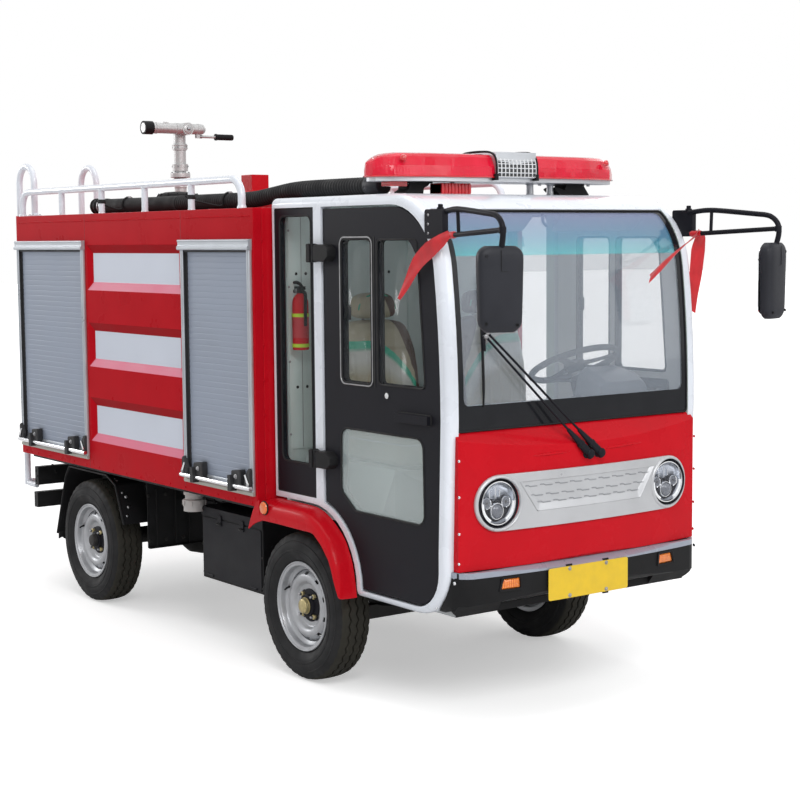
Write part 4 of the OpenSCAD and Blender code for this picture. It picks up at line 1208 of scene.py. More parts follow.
def door_details(side):
    """What sits on one door: seals, a pale sheet over the lower pane that is painted light, handle, hinges,
    latch and inner grip.
    """
    shape = Shape()
    for outline in (rear_pane, front_pane, low_pane):
        outline_tube(shape, outline, -613.2, 4.2, 0)
        outline_tube(shape, outline, -586, 5, 0)
    # The pale sheet over the lower pane, painted light.
    shape.rings([side_ring(low_pane, -609.5), side_ring(low_pane, -611)], 4)
    grown = rounded_rect(253, 1199, 463, 1751, 28, 5)
    outline_tube(shape, grown, -614, 3.4, 1)
    outline_tube(shape, rounded_rect(249, 1195, 467, 1755, 31, 5), -613.6, 3.2, 0)
    shape.box((472, 480), (-615.5, -612), (1196, 1752), 0)
    shape.lathe((550, -613, 1171), RIGHTWARD, [(11, 0), (11, 3), (9, 4.6), (4, 5)], 24, 2)
    shape.lathe((550, -613, 1171), RIGHTWARD, [(15, -0.5), (15, 1.6), (13, 2.4)], 24, 0)
    plate = rounded_rect(616, 1080, 822, 1120, 12, 5)
    shape.rings([side_ring(plate, -612), side_ring(plate, -617),
                 side_ring(plate, -619, (720, 1100), (0.98, 0.9))], 0)
    grip = rounded_outline([(624, 1086), (624, 1113), (752, 1110), (764, 1090), (740, 1084)], 5, 4)
    shape.rings([side_ring(grip, -618), side_ring(grip, -630),
                 side_ring(grip, -633, (695, 1100), (0.97, 0.84))], 3)
    shape.box((628, 748), (-631, -620), (1110.5, 1113.5), 1)
    shape.lathe((786, -618, 1099), RIGHTWARD, [(15, 0), (15, 7), (13, 9.5), (9, 10), (8, 8.5), (2, 8.5)],
                26, 3)
    shape.box((779, 793), (-629, -626), (1097.8, 1100.2), 1)
    for z in (897, 1692):
        cover = rounded_outline([(124, z - 33), (124, z + 33), (196, z + 33), (226, z + 16),
                                 (226, z - 14), (200, z - 33)], 10, 5)
        shape.rings([side_ring(cover, -613), side_ring(cover, -648),
                     side_ring(cover, -653, (172, z), (0.95, 0.9))], 3)
    latch = rounded_rect(262, 1440, 288, 1494, 4, 3)
    shape.rings([side_ring(latch, -600), side_ring(latch, -588)], 3)
    inner = rounded_outline([(300, 1070), (800, 1070), (800, 1180), (300, 1180)], 14, 4)
    shape.rings([side_ring(inner, -585), side_ring(inner, -579),
                 side_ring(inner, -576, (550, 1125), (0.97, 0.86))], 0)
    shape.tube(smooth_path([(470, -580, 1098), (480, -552, 1098), (560, -546, 1098), (640, -552, 1098),
                            (650, -580, 1098)], 6), 10, 12, 0)
    shape.box((742, 790), (-577, -571), (1110, 1142), 1)
    shape.box((748, 816), (-571, -563), (1124, 1134), 1)
    if side > 0:
        shape.points = [Vector((p.x, -p.y, p.z)) for p in shape.points]
        shape.faces = [f[::-1] for f in shape.faces]
    return shape


for side, tag in ((-1, "right"), (1, "left")):
    piece("door_fittings_" + tag, door_details(side),
          [rubber, steel, white_plastic, black_plastic, pane_painted_light], tag + "_door", sharp=38)

# Hinge covers on the pillar and quarter window seals
pillar = Shape()
for z in (897, 1692):
    cap = rounded_outline([(76, z - 36), (76, z + 36), (102, z + 36), (102, z - 36)], 5, 3)
    pillar.rings([side_ring(cap, -620), side_ring(cap, -650),
                  side_ring(cap, -653, (89, z), (0.8, 0.95))], 0)
    for dz in (-20, 0, 20):
        screw(pillar, (82, -620.5, z + dz), (-0.4, -1, 0), 4, 1)
quarter = rounded_rect(-167, 864, 58, 1836, 30, 6)
outline_tube(pillar, quarter, -615, 4.2, 3)
outline_tube(pillar, rounded_rect(-200, 738, 79, 1866, 8, 3), -616, 3, 3)
pillar.mirrored()
piece("pillar_fittings", pillar, [black_plastic, steel, black_paint, rubber], bevel=0.8)

# Inner wall seen through the quarter pane
wall = Shape()
wall.box((-190, -184), (-560, -30), (900, 1850), 0)
wall.box((-184, -181.5), (-568, -560), (740, 1860), 0)
wall.box((-190, -182), (30, 560), (900, 1850), 0)
for z in (1150, 1607):
    for y in (-530, -484, -120, -70):
        wall.lathe((-184, y, z), FORWARD, [(6.5, 0), (6.5, 1.6), (5, 2.6), (1.5, 2.8)], 16, 1)
for z in (960, 1255, 1555, 1780):
    wall.lathe((-182, -566, z), FORWARD, [(5, 0), (5, 1.6), (2, 2.4)], 12, 2)
wall.tube([(-183.4, -506, 905), (-183.4, -506, 1845)], 1.6, 6, 2)
wall.box((-189, -60), (-566, -562), (1848, 1862), 0)
piece("inner_wall", wall, [cream_panel, black_plastic, steel], bevel=1)

# Fire extinguisher
BOTTLE = (-140, -540, 0)
bottle = Shape()
bottle.lathe(BOTTLE, UPWARD,
             [(20, 1303), (31, 1304), (33, 1309), (33, 1488), (31.5, 1500), (27, 1513), (19, 1523),
              (13, 1527), (13, 1532)], 40, 0)
bottle.lathe(BOTTLE, UPWARD, [(33.4, 1352), (33.5, 1354), (33.5, 1446), (33.4, 1448)], 40, 3, caps=False)
bottle.lathe(BOTTLE, UPWARD, [(13, 1530), (15, 1532), (15, 1544), (11, 1548)], 24, 1)
bottle.box((-166, -116), (-551, -529), (1544, 1558), 1)
bottle.tube(smooth_path([(-125, -540, 1552), (-140, -540, 1566), (-165, -540, 1573), (-192, -540, 1571)],
                        5), [8, 8, 7.5] + [7] * 9 + [6, 6, 6, 5], 10, 1)
bottle.tube(smooth_path([(-128, -540, 1549), (-155, -540, 1547), (-180, -540, 1540), (-192, -540, 1528)],
                        5), 5.5, 10, 1)
bottle.tube(smooth_path([(-120, -540, 1538), (-104, -540, 1530), (-102, -540, 1500), (-104, -540, 1440),
                         (-104, -540, 1400)], 6), 7, 10, 1)
bottle.lathe((-150, -551, 1540), RIGHTWARD, [(9, 0), (9, 5), (7, 6), (2, 6.4)], 18, 2)
for z in (1322, 1443):
    bottle.lathe((-140, -540, z), UPWARD, [(33.2, -7), (35, -7), (35, 7), (33.2, 7)], 32, 4, loop=True)
    bottle.box((-184, -168), (-553, -527), (z - 9, z + 9), 4)
label = finish("plain_label", (0.46, 0.02, 0.03), 0.4, vary=0.15, size=55)
lime = finish("clip_lime", (0.5, 0.72, 0.02), 0.4, vary=0.06)
piece("extinguisher", bottle, [red_paint, black_plastic, steel, label, lime],
      bevel=0.8, replaces=["fire_extinguisher"])

# Steering wheel with a grip, three spokes and a horn pad
tilt = spun((560, 300, 1235), math.radians(-25), "Y")
GRIP_RADIUS = 176
wheel = Shape()
rings = []
for i, a in enumerate(around(96)):
    bump = 1.1 if i % 8 < 5 and 20 < i < 76 else 0
    ring = []
    for b in around(14):
        r = 12.4 + (bump if math.sin(b) < 0 else 0)
        reach = GRIP_RADIUS + r * math.cos(b)
        ring.append((math.cos(a) * reach, math.sin(a) * reach, 8 + r * math.sin(b)))
    rings.append(ring)
wheel.rings(rings, 0, loop=True)
SPOKE = ((-1, -0.6), (-0.6, -1), (0.6, -1), (1, -0.6), (1, 0.6), (0.6, 1), (-0.6, 1), (-1, 0.6))
for turn in (90, 210, 330):
    a = math.radians(turn + 90)
    way = Vector((math.cos(a), math.sin(a), 0))
    side = Vector((-math.sin(a), math.cos(a), 0))
    rings = []
    for r, w, z, h in ((26, 26, 4, 7), (60, 20, 3, 6), (110, 15, 4, 5), (172, 20, 8, 5)):
        rings.append([way * r + side * s * w + Vector((0, 0, z + t * h)) for s, t in SPOKE])
    wheel.rings(rings, 0)
wheel.lathe((0, 0, 0), UPWARD,
            [(22, -26), (34, -22), (40, -6), (44, 4), (42, 14), (32, 19), (12, 21), (3, 21.3)], 40, 1)
wheel.lathe((0, 0, 0), UPWARD, [(20, 20), (19, 22), (14, 22.6), (3, 22.8)], 32, 0)
wheel.moved(tilt)
piece("wheel_grip", wheel, [rubber, black_plastic], "hand_wheel", sharp=40,
      replaces=["steering_wheel"])

# Dashboard top, binnacle, column shroud, pedals and lever
dash = Shape()
cowl = [(712, 1086), (716, 1104), (736, 1128), (764, 1138), (800, 1139), (868, 1128), (886, 1112),
        (893, 1090)]
rings = []
for k in range(25):
    y = -566 + 1132 * k / 24
    rings.append([(x, y, z) for x, z in cowl])
dash.rings(rings, 0, closed=False, caps=False)
for y in (-330, 110, 330):
    dash.tube([(714, y, 1100), (738, y, 1130), (765, y, 1140), (800, y, 1141), (868, y, 1130)], 1.4, 6, 1)
hood = rounded_outline([(170, 1120), (190, 1216), (226, 1240), (374, 1240), (410, 1216), (430, 1120)], 16, 5)
hood_back = rounded_outline([(150, 1120), (168, 1200), (206, 1222), (394, 1222), (432, 1200),
                             (450, 1120)], 16, 5)
dash.rings([front_ring(hood, 700), [(712, y, z + 3) for y, z in hood], front_ring(hood_back, 790),
            front_ring(hood_back, 838, (300, 1120), (0.9, 0.7))], 2)
screen_in = rounded_outline([(196, 1140), (204, 1206), (234, 1222), (366, 1222), (396, 1206),
                             (404, 1140)], 12, 5)
dash.rings([front_ring(screen_in, 699), front_ring(screen_in, 703)], 3)
for y in (250, 350):
    dash.lathe((699, y, 1180), BACKWARD, [(32, -1), (32, 1.5), (29, 2.5), (28, 1)], 30, 1)
shroud = Shape()
shroud.lathe((0, 0, 0), UPWARD, [(30, -46), (36, -60), (39, -120), (37, -200), (30, -260), (27, -300)],
             28, 4)
for side in (-1, 1):
    shroud.tube([(8, side * 30, -66), (2, side * 90, -60), (-4, side * 150, -50), (-6, side * 176, -46)],
                [5, 4.5, 4.5, 7], 10, 4)
shroud.moved(tilt)
dash.add(shroud.points, shroud.faces, 4)
for y, wide in ((210, 26), (330, 24)):
    dash.tube(smooth_path([(842, y, 700), (800, y, 600), (770, y, 520), (756, y, 492)], 5), 7, 10, 4)
    tread_turn = spun((754, y, 488), 0.7, "Y") @ Matrix.Translation((-754, -y, -488))
    dash.box((742, 766), (y - wide, y + wide), (478, 498), 5, tread_turn)
for y in (-500, -120, 60, 520):
    vent = rounded_rect(y - 34, 1058, y + 34, 1092, 6, 3)
    dash.rings([front_ring(vent, 716), front_ring(vent, 709)], 4)
    for k in range(4):
        dash.box((706.5, 710), (y - 28, y + 28), (1062 + k * 8, 1065 + k * 8), 5)
glove = rounded_rect(-440, 930, -170, 1040, 12, 4)
dash.rings([front_ring(glove, 722), front_ring(glove, 713)], 0)
dash_top = finish("dash_top", (0.5, 0.53, 0.55), 0.45, vary=0.04, grain=0.15, grain_size=700)
binnacle = finish("binnacle", (0.2, 0.22, 0.25), 0.5, vary=0.08, grain=0.15, grain_size=800)
dial_dark = finish("dial_dark", (0.01, 0.011, 0.014), 0.1, coat=0.7, vary=0.1)
piece("dash_fittings", dash, [dash_top, dark_grey, binnacle, dial_dark, black_plastic, rubber],
      sharp=42)

# Roof lining, sun visors and inner lamp
lining = Shape()
for y0, y1 in ((-500, -70), (70, 500)):
    visor = rounded_rect(y0, 0, y1, 150, 24, 5)
    rings = []
    for drop in (0, 16):
        rings.append([(742 - s * 0.42 - drop * 0.3, y, 1836 - s * 0.36 - drop) for y, s in visor])
    lining.rings(rings, 0)
lining.lathe((240, 0, 1878), DOWNWARD, [(70, 0), (70, 10), (60, 20), (30, 25), (4, 26)], 36, 1)
lining.tube([(755, -40, 1838), (748, -30, 1800), (745, -10, 1786)], 6, 10, 2)
visor_cloth = finish("visor_vinyl", (0.42, 0.43, 0.43), 0.6, vary=0.05, grain=0.2, grain_size=900)
piece("cab_lining", lining, [visor_cloth, lens_white, black_plastic], bevel=1.5)


# Seats: vinyl pads swelled by a short cloth simulation
def seat_vinyl(name, back):
    """Beige vinyl; a back also has brown sides and a green and white arch."""
    n = Nodes(name)
    beige = (0.46, 0.42, 0.29)
    drift = n.noise(9, 4)
    color = n.ramp(drift, [(0.3, shade(beige, 0.88)), (0.55, beige), (0.8, shade(beige, 1.12))])
    if back:
        split = n.node("ShaderNodeSeparateXYZ")
        n.join(n.place, split.inputs["Vector"])

        def sums(kind, a, b, c=0.0):
            made = n.node("ShaderNodeMath", operation=kind)
            for value, socket in zip((a, b, c), made.inputs):
                if hasattr(value, "is_linked"):
                    n.join(value, socket)
                else:
                    socket.default_value = value
            return made.outputs["Value"]

        across = sums("ABSOLUTE", split.outputs["Y"], 0)
        short = sums("MAXIMUM", sums("SUBTRACT", 0.36, across), 0)
        arch = sums("SUBTRACT", 1.342, sums("MULTIPLY", sums("MULTIPLY", short, short), 3.2))
        below = sums("SUBTRACT", arch, split.outputs["Z"])
        green = (0.04, 0.5, 0.32)
        white = (0.7, 0.72, 0.68)
        band = n.ramp(n.spread(below, 0, 1, -0.02, 0.14),
                      [(0.0, beige), (0.12, beige), (0.135, green), (0.3, green), (0.4, white),
                       (0.62, white), (1.0, beige)])
        inside = n.spread(below, 0, 1, -0.003, 0.002)
        color = n.mix(inside, color, band)
        edge = sums("SUBTRACT", across,
                    sums("MULTIPLY_ADD", sums("MAXIMUM", sums("SUBTRACT", split.outputs["Z"], 1.2), 0),
                         0.42, 0.128))
        color = n.mix(n.spread(edge, 1, 0, -0.004, 0.002), color, (0.1, 0.052, 0.035))
    n.join(color, n.shader.inputs["Base Color"])
    creases = n.noise(38, 5)
    pores = n.node("ShaderNodeTexVoronoi")
    pores.inputs["Scale"].default_value = 650
    n.join(n.place, pores.inputs["Vector"])
    bumped = n.bump(pores.outputs["Distance"], 0.0004, 0.6, n.bump(creases, 0.002, 0.35))
    n.join(bumped, n.shader.inputs["Normal"])
    n.join(n.spread(creases, 0.3, 0.48), n.shader.inputs["Roughness"])
    n.set(Coat_Weight=0.12)
    return n.material


def pad_shape(levels, centre_y, power=5.0):
    """Stacks rounded levels; each gives height, half width, front and back."""
    shape = Shape()
    rings = []
    for z, half, front, back in levels:
        ring = []
        for a in around(48):
            c = math.cos(a)
            s = math.sin(a)
            x = (front + back) / 2 + (front - back) / 2 * math.copysign(abs(c) ** (2 / power), c)
            y = centre_y + half * math.copysign(abs(s) ** (2 / power), s)
            ring.append((x, y, z))
        rings.append(ring)
    return shape.rings(rings)


def swelled(shape, cap, lowest):
    """Remeshes a pad, swells it as filled cloth and gives back its points and faces."""
    mesh = bpy.data.meshes.new("pad")
    mesh.from_pydata([at(p) for p in shape.points], [], shape.faces)
    pad = link(bpy.data.objects.new("pad", mesh))
    remesh = pad.modifiers.new("Remesh", "REMESH")
    remesh.mode = "VOXEL"
    remesh.voxel_size = 0.006
    smooth = pad.modifiers.new("Even", "SMOOTH")
    smooth.iterations = 4
    graph = bpy.context.evaluated_depsgraph_get()
    fine = bpy.data.meshes.new_from_object(pad.evaluated_get(graph))
    pad.modifiers.clear()
    pad.data = fine
    start = [v.co.copy() for v in fine.vertices]
    moved = start
    cloth = pad.modifiers.new("Fill", "CLOTH")
    cloth.settings.use_pressure = True
    cloth.settings.uniform_pressure_force = 4
    cloth.settings.effector_weights.gravity = 0
    cloth.settings.quality = 4
    cloth.point_cache.frame_start = 1
    cloth.point_cache.frame_end = 20
    for number in range(1, 21):
        bpy.context.scene.frame_set(number)
    graph = bpy.context.evaluated_depsgraph_get()
    result = pad.evaluated_get(graph).to_mesh()
    moved = []
    for a, v in zip(start, result.vertices):
        step = v.co - a
        if step.length > cap / 1000:
            step = step.normalized() * cap / 1000
        moved.append(a + step)
    pad.evaluated_get(graph).to_mesh_clear()
    bpy.context.scene.frame_set(1)
    points = []
    for p in moved:
        points.append(Vector(((p.x - SHIFT) * 1000, p.y * 1000, max(p.z * 1000, lowest))))
    faces = [list(f.vertices) for f in fine.polygons]
    normals = [v.normal.copy() for v in fine.vertices]
    bpy.data.objects.remove(pad)
    return points, faces, normals


def sewn(points, normals, grooves):
    """Pulls the surface in along sewn lines; each groove gives a distance and a depth."""
    done = []
    for p, normal in zip(points, normals):
        pull = 0.0
        for distance, depth, width in grooves:
            d = distance(p)
            pull = max(pull, depth * math.exp(-(d / width) ** 2))
        done.append(p - Vector(normal) * pull)
    return done


cushion_levels = [(884, 186, 484, 48), (890, 200, 500, 34), (906, 206, 508, 28), (950, 208, 510, 26),
                  (980, 204, 505, 30), (994, 192, 492, 44), (1000, 168, 462, 70), (1003, 120, 400, 130)]
back_levels = [(1006, 150, 66, -28), (1012, 188, 78, -40), (1030, 202, 86, -46), (1120, 206, 80, -52),
               (1220, 202, 70, -56), (1300, 190, 63, -58), (1360, 170, 56, -58), (1400, 146, 50, -54),
               (1418, 122, 42, -44), (1425, 80, 24, -26)]
rest_levels = [(1428, 60, 30, -30), (1433, 84, 40, -40), (1446, 94, 45, -46), (1490, 92, 42, -48),
               (1512, 82, 36, -44), (1524, 62, 24, -34), (1528, 30, 8, -18)]
SEAT_Y = 284
pads = {"cushion": (cushion_levels, 9, 882,
                    [(lambda p: min(abs(p.x - 200), abs(p.x - 330)) if p.z > 985
                      and abs(p.y - SEAT_Y) < 175 else 99, 5, 5),
                     (lambda p: abs(abs(p.y - SEAT_Y) - 150) if p.z > 985 else 99, 5, 5),
                     (lambda p: abs(p.z - 972), 2.5, 4)]),
        "back": (back_levels, 9, 1004,
                 [(lambda p: min(abs(p.y - SEAT_Y + k) for k in (-84, -28, 28, 84)) if p.x > 20
                   and 1050 < p.z < 1290 else 99, 5, 5),
                  (lambda p: abs(abs(p.y - SEAT_Y) - 140) if p.x > 10 and p.z < 1330 else 99, 5, 5),
                  (lambda p: abs(p.z - 1300) if p.x > 10 and abs(p.y - SEAT_Y) < 140 else 99, 4, 5)]),
        "headrest": (rest_levels, 6, 1426, [(lambda p: abs(p.x - 6), 3, 4)]), }
cushion_vinyl = seat_vinyl("seat_vinyl", False)
back_vinyl = seat_vinyl("seat_back_vinyl", True)
piping = finish("piping_white", (0.62, 0.64, 0.6), 0.4, vary=0.06, size=40)
piping_green = finish("piping_green", (0.03, 0.42, 0.25), 0.4, vary=0.06, size=40)
for part, (levels, cap, lowest, grooves) in pads.items():
    points, faces, normals = swelled(pad_shape(levels, SEAT_Y), cap, lowest)
    points = sewn(points, normals, grooves)
    for side, tag in ((-1, "right"), (1, "left")):
        shape = Shape()
        shape.add([(p.x, side * p.y, p.z) for p in points], faces if side > 0 else [f[::-1] for f in faces])
        made = piece("seat_" + part + "_" + tag, shape,
                     cushion_vinyl if part == "cushion" else back_vinyl,
                     levels=1, sharp=180,
                     replaces=["seats"] if part == "cushion" and side < 0 else ())
trims = Shape()
edge = [(x, y, 971) for x, y in dense(rounded_rect(28, SEAT_Y - 208, 511, SEAT_Y + 208, 40, 6), 40)]
trims.tube(edge + edge[:1], 3.4, 8, 1, caps=False)
arch = []
for k in range(25):
    a = math.pi * k / 24
    arch.append((30, SEAT_Y + 90 * math.cos(a), 1462 + 62 * math.sin(a)))
trims.tube(arch, 3.4, 8, 0)
for y in (SEAT_Y - 42, SEAT_Y + 42):
    trims.tube([(-10, y, 1405), (-10, y, 1440)], 6, 12, 2)
frame_box = rounded_rect(10, SEAT_Y - 190, 500, SEAT_Y + 190, 18, 4)
trims.rings([level_ring(frame_box, 879), level_ring(frame_box, 886)], 3)
for y in (SEAT_Y + 150, SEAT_Y - 150):
    trims.tube(smooth_path([(-30, y, 884), (-62, y, 900), (-58, y, 1010)], 6), 11, 12, 3)
shell = rounded_rect(SEAT_Y - 170, 1020, SEAT_Y + 170, 1380, 40, 6)
trims.rings([front_ring(shell, -57), front_ring(shell, -64, (SEAT_Y, 1200), (0.97, 0.97))], 3)
trims.box((28, 54), (SEAT_Y - 228, SEAT_Y - 212), (900, 985), 3)
trims.box((31, 51), (SEAT_Y - 226, SEAT_Y - 214), (985, 1018), 3)
trims.mirrored()
piece("seat_trims", trims, [piping_green, piping, steel, black_plastic], bevel=0.8)


# Front fender shells, with a tail plate over the corner of the body
def fender():
    """The right fender: a curved shell with a pointed tail."""
    top = [(-226, 698), (-205, 704), (-180, 706), (-90, 706), (10, 705), (80, 703), (115, 697),
           (146, 688), (192, 667), (237, 636), (276, 603), (304, 563), (325, 521), (337, 479), (346, 436),
           (354, 388)]
    lip = [(-226, 614), (-205, 621), (-183, 625), (-85, 626), (16, 625), (98, 624), (150, 624),
           (178, 620), (202, 606), (232, 585), (257, 560), (283, 533), (302, 497), (317, 459), (332, 428),
           (349, 398)]
    top = smooth_path(side_ring(top, 0), 4)
    lip = smooth_path(side_ring(lip, 0), 4)
    bends = ((0, 0), (0.03, 30), (0.1, 54), (0.2, 68), (0.34, 76), (0.55, 80), (0.8, 82), (1, 82.5))
    rings = []
    for a, b in zip(top, lip):
        inward = Vector((20 - (a.x + b.x) / 2, 0, 330 - (a.z + b.z) / 2)).normalized() * 5
        outer = [a.lerp(b, t) - Vector((0, 621.5 + d, 0)) for t, d in bends]
        inner = [a.lerp(b, t) - Vector((0, 621.5 + d * 0.93, 0)) + inward * (1 - t)
                 for t, d in reversed(bends)]
        rings.append(outer + inner)
    shape = Shape().rings(rings)
    tail = rounded_outline([(-301, 574), (-284, 612), (-264, 650), (-242, 682), (-222, 697), (-214, 703),
                            (-214, 618), (-243, 607), (-272, 594)], 2.5, 3)
    shape.rings([side_ring(tail, -699.8), side_ring(tail, -703.8)], 0)
    return shape


shell = fender()
lip_line_low = [(-299, 577), (-272, 594), (-243, 608), (-205, 620), (-183, 624.5), (-85, 625.5),
                (16, 624.5), (98, 623.5), (150, 623.5), (178, 619.5), (202, 605.5), (232, 584.5),
                (257, 559.5), (283, 532.5), (302, 496.5), (317, 458.5), (332, 427.5), (348, 399)]
shell.tube(smooth_path(side_ring(lip_line_low, -701), 4), 3.4, 10)
shell.mirrored()
piece("fender_shells", shell, red_paint, sharp=32, replaces=["front_fenders"])


# Roller shutters
def on_side(x0):
    """Places on a shutter in the right side: along, inward and up."""
    return lambda u, v, h: Vector((x0 + u, -700 + v, 714 + h))


def on_back(u, v, h):
    """A place on the rear shutter."""
    return Vector((-2530 + v, 610 - u, 714 + h))


def slab(shape, place, u, v, h, mark=0):
    """A box on a shutter."""
    corners = ((u[0], v[0]), (u[1], v[0]), (u[1], v[1]), (u[0], v[1]))
    shape.rings([[place(a, b, c) for a, b in corners] for c in h], mark)


def strip(shape, place, profile, u, mark=0):
    """A profile of depths and heights drawn along a shutter."""
    shape.rings([[place(a, v, h) for v, h in profile] for a in u], mark)


def slat_profile(low, high, count):
    """The section of a curtain of slats."""
    points = [(15, low)]
    pitch = (high - low) / count
    for i in range(count):
        h = low + i * pitch
        points += [(7.0, h), (6.2, h + 1.6), (5.6, h + pitch * 0.5), (6.0, h + pitch - 1.6)]
    return points + [(7.0, high), (15, high)]


def shutter(curtain, trim, bars, place, wide):
    """One shutter: its slats, guides, head box, sill, lift bar and latches."""
    strip(curtain, place, slat_profile(46, 988, 38), (27, wide - 27))
    strip(trim, place, [(0.5, 18), (0.5, 40), (3, 46), (12, 46), (12, 18)], (27, wide - 27), 0)
    for u in ((27, 39), (wide - 33, wide - 27)):
        slab(trim, place, u, (1.5, 8), (18, 990), 1)
    slab(trim, place, (24.6, 27), (-7.6, 8), (18, 992), 1)
    for u in ((0.6, 9), (17, 25.2), (wide - 9, wide - 0.6), (wide - 25.2, wide - 17)):
        slab(trim, place, u, (-10, -6), (14, 992), 0)
    slab(trim, place, (27, wide - 27), (-5, 6), (981, 994), 1)
    head = [(0, 990), (-20, 990), (-24, 993), (-24, 1004), (-20, 1007), (-18, 1010), (-18, 1024),
            (-21, 1026), (-21, 1031), (-16, 1034), (0, 1034)]
    strip(trim, place, head, (-5, wide + 5), 0)
    strip(trim, place, [(0, -2), (-10, -2), (-12, 2), (-12, 12), (-9, 17), (0, 18)], (-1, wide + 1), 2)
    outward = place(0, -1, 0) - place(0, 0, 0)
    bars.tube([place(u, -24, 30) for u in (-4, 8, wide - 8, wide + 4)], [9, 10.5, 10.5, 9], 16, 0)
    for c in (wide * 0.25, wide * 0.8):
        cheek = rounded_outline([(c - 36, 40), (c - 34, 92), (c + 36, 100), (c + 38, 34), (c - 14, 26)], 5, 3)
        bars.rings([[place(u, 2, h) for u, h in cheek], [place(u, -22, h) for u, h in cheek],
                    [place(c + (u - c) * 0.9, -26, 66 + (h - 66) * 0.9) for u, h in cheek]], 1)
        clamp = rounded_outline([(c - 40, 8), (c - 40, 74), (c - 20, 74), (c - 12, 8)], 5, 3)
        bars.rings([[place(u, -8, h) for u, h in clamp], [place(u, -40, h) for u, h in clamp]], 1)
        bars.lathe(place(c + 6, -26, 70), outward, [(10, -1), (10, 2), (8, 3)], 18, 2)
        bars.lathe(place(c + 6, -26, 70), outward, [(6.5, 2), (6.5, 7), (5, 8)], 6, 2)
    for u, way in ((4, 1), (wide - 4, -1)):
        latch = rounded_outline([(u, 20), (u, 106), (u + way * 14, 112), (u + way * 46, 62),
                                 (u + way * 44, 40), (u + way * 16, 24)], 4, 3)
        bars.rings([[place(a, -8, h) for a, h in latch], [place(a, -20, h) for a, h in latch],
                    [place(u + way * 16 + (a - u - way * 16) * 0.86, -24, 64 + (h - 64) * 0.9)
                     for a, h in latch]], 1)
        bar_box(bars, place(u + way * 6, -27, 44), place(u + way * 30, -27, 84), outward, (15, 10), (7, 7), 0)
        bars.lathe(place(u + way * 10, -22, 46), outward, [(7, 0), (7, 8), (5, 10)], 14, 2)


curtains = Shape()
shutter_trim = Shape()
lift_bars = Shape()
shutter(curtains, shutter_trim, lift_bars, on_side(-2514), 758)
shutter(curtains, shutter_trim, lift_bars, on_side(-815), 569)
for made in (curtains, shutter_trim, lift_bars):
    made.mirrored()
shutter(curtains, shutter_trim, lift_bars, on_back, 860)
curtain_grey = finish("curtain_grey", (0.29, 0.33, 0.41), 0.52, metal=0.15, vary=0.05, size=4, grain=0.04,
                      grain_size=300)
rail_silver = finish("rail_silver", (0.5, 0.53, 0.57), 0.32, metal=0.5, vary=0.05, grain=0.04, grain_size=400)
strip_grey = finish("strip_grey", (0.42, 0.41, 0.37), 0.45, metal=0.4, vary=0.12, size=16, grain=0.08,
                    grain_size=260)
seal_black = finish("seal_black", (0.012, 0.012, 0.014), 0.6, vary=0.15, grain=0.1, grain_size=600)
piece("curtain_slats", curtains, curtain_grey, sharp=20,
      replaces=["shutter_curtains"])
piece("shutter_trim", shutter_trim, [rail_silver, seal_black, strip_grey], bevel=0.8)
piece("lift_bars", lift_bars, [chrome, seal_black, steel], sharp=38,
      replaces=["shutter_bars"])

# Folded lines, rivets and edge trims of the body
RIVET = [(5, -1), (5, 1), (3.4, 2.4), (1, 2.8)]
folds = Shape()
for side in (-1, 1):
    for x0, x1 in ((-2502, -1772), (-1738, -832), (-796, -258)):
        bead = [(side * 699, 1835), (side * 702.6, 1838), (side * 702.8, 1840.5), (side * 699, 1844)]
        folds.rings([front_ring(bead, x0), front_ring(bead, x1)], 0)
    for x in (-1748, -822):
        folds.box((x - 1, x + 1), (side * 699.4, side * 700.4), (672, 1870), 1)
    for k in range(17):
        x = -2480 + k * 138
        folds.lathe((x, side * 700, 684), (0, side, 0), RIVET, 12, 0)
folds.tube([(-2529, -699, 1871), (-2529, 699, 1871)], 3, 8, 0)
for y in (-660, 660):
    for x, low, step, way in ((-2530, 730, 150, -1), (-230, 760, 140, 1)):
        for k in range(8):
            folds.lathe((x, y, low + k * step), (way, 0, 0), RIVET, 12, 0)
joint_dark = finish("joint_line", (0.2, 0.004, 0.008), 0.5, vary=0.1)
piece("body_folds", folds, [side_red, joint_dark], sharp=40)

# Deck: seams, hatch lid, filler cap and grab handles
FILLER_X = -1510
FILLER_Y = -330
deck = Shape()
for x in (-1756, -1240, -640):
    deck.box((x - 6, x + 6), (-662, 662), (1871.5, 1874.5), 0)
lid = rounded_rect(-1162, -212, -688, 262, 16, 4)
deck.rings([level_ring(lid, 1951), level_ring(lid, 1961),
            level_ring(lid, 1965, (-925, 25), (0.98, 0.98))], 1)
for x in (-1100, -760):
    deck.box((x - 30, x + 30), (258, 272), (1936, 1966), 2)
    deck.lathe((x - 34, 268, 1962), FORWARD, [(7, 0), (7, 68)], 14, 2)
deck.tube(smooth_path([(-990, -216, 1944), (-990, -240, 1944), (-925, -246, 1944), (-860, -240, 1944),
                       (-860, -216, 1944)], 6), 7, 12, 3)
deck.lathe((FILLER_X, FILLER_Y, 0), UPWARD,
           [(96, 1871), (96, 1884), (80, 1888), (80, 1926), (92, 1930), (94, 1950), (86, 1962),
            (60, 1970), (20, 1973)], 48, 4)
for a in around(12):
    rib = [(FILLER_X + r * math.cos(a), FILLER_Y + r * math.sin(a), z)
           for r, z in ((94, 1931), (95, 1950), (86, 1963))]
    deck.tube(rib, 5, 8, 4)
for a in around(10):
    bolt(deck, (FILLER_X + 88 * math.cos(a), FILLER_Y + 88 * math.sin(a), 1883), UPWARD, 4, 5, 3)
piece("deck_fittings", deck, [dark_red, red_paint, zinc, steel, black_plastic], bevel=1)

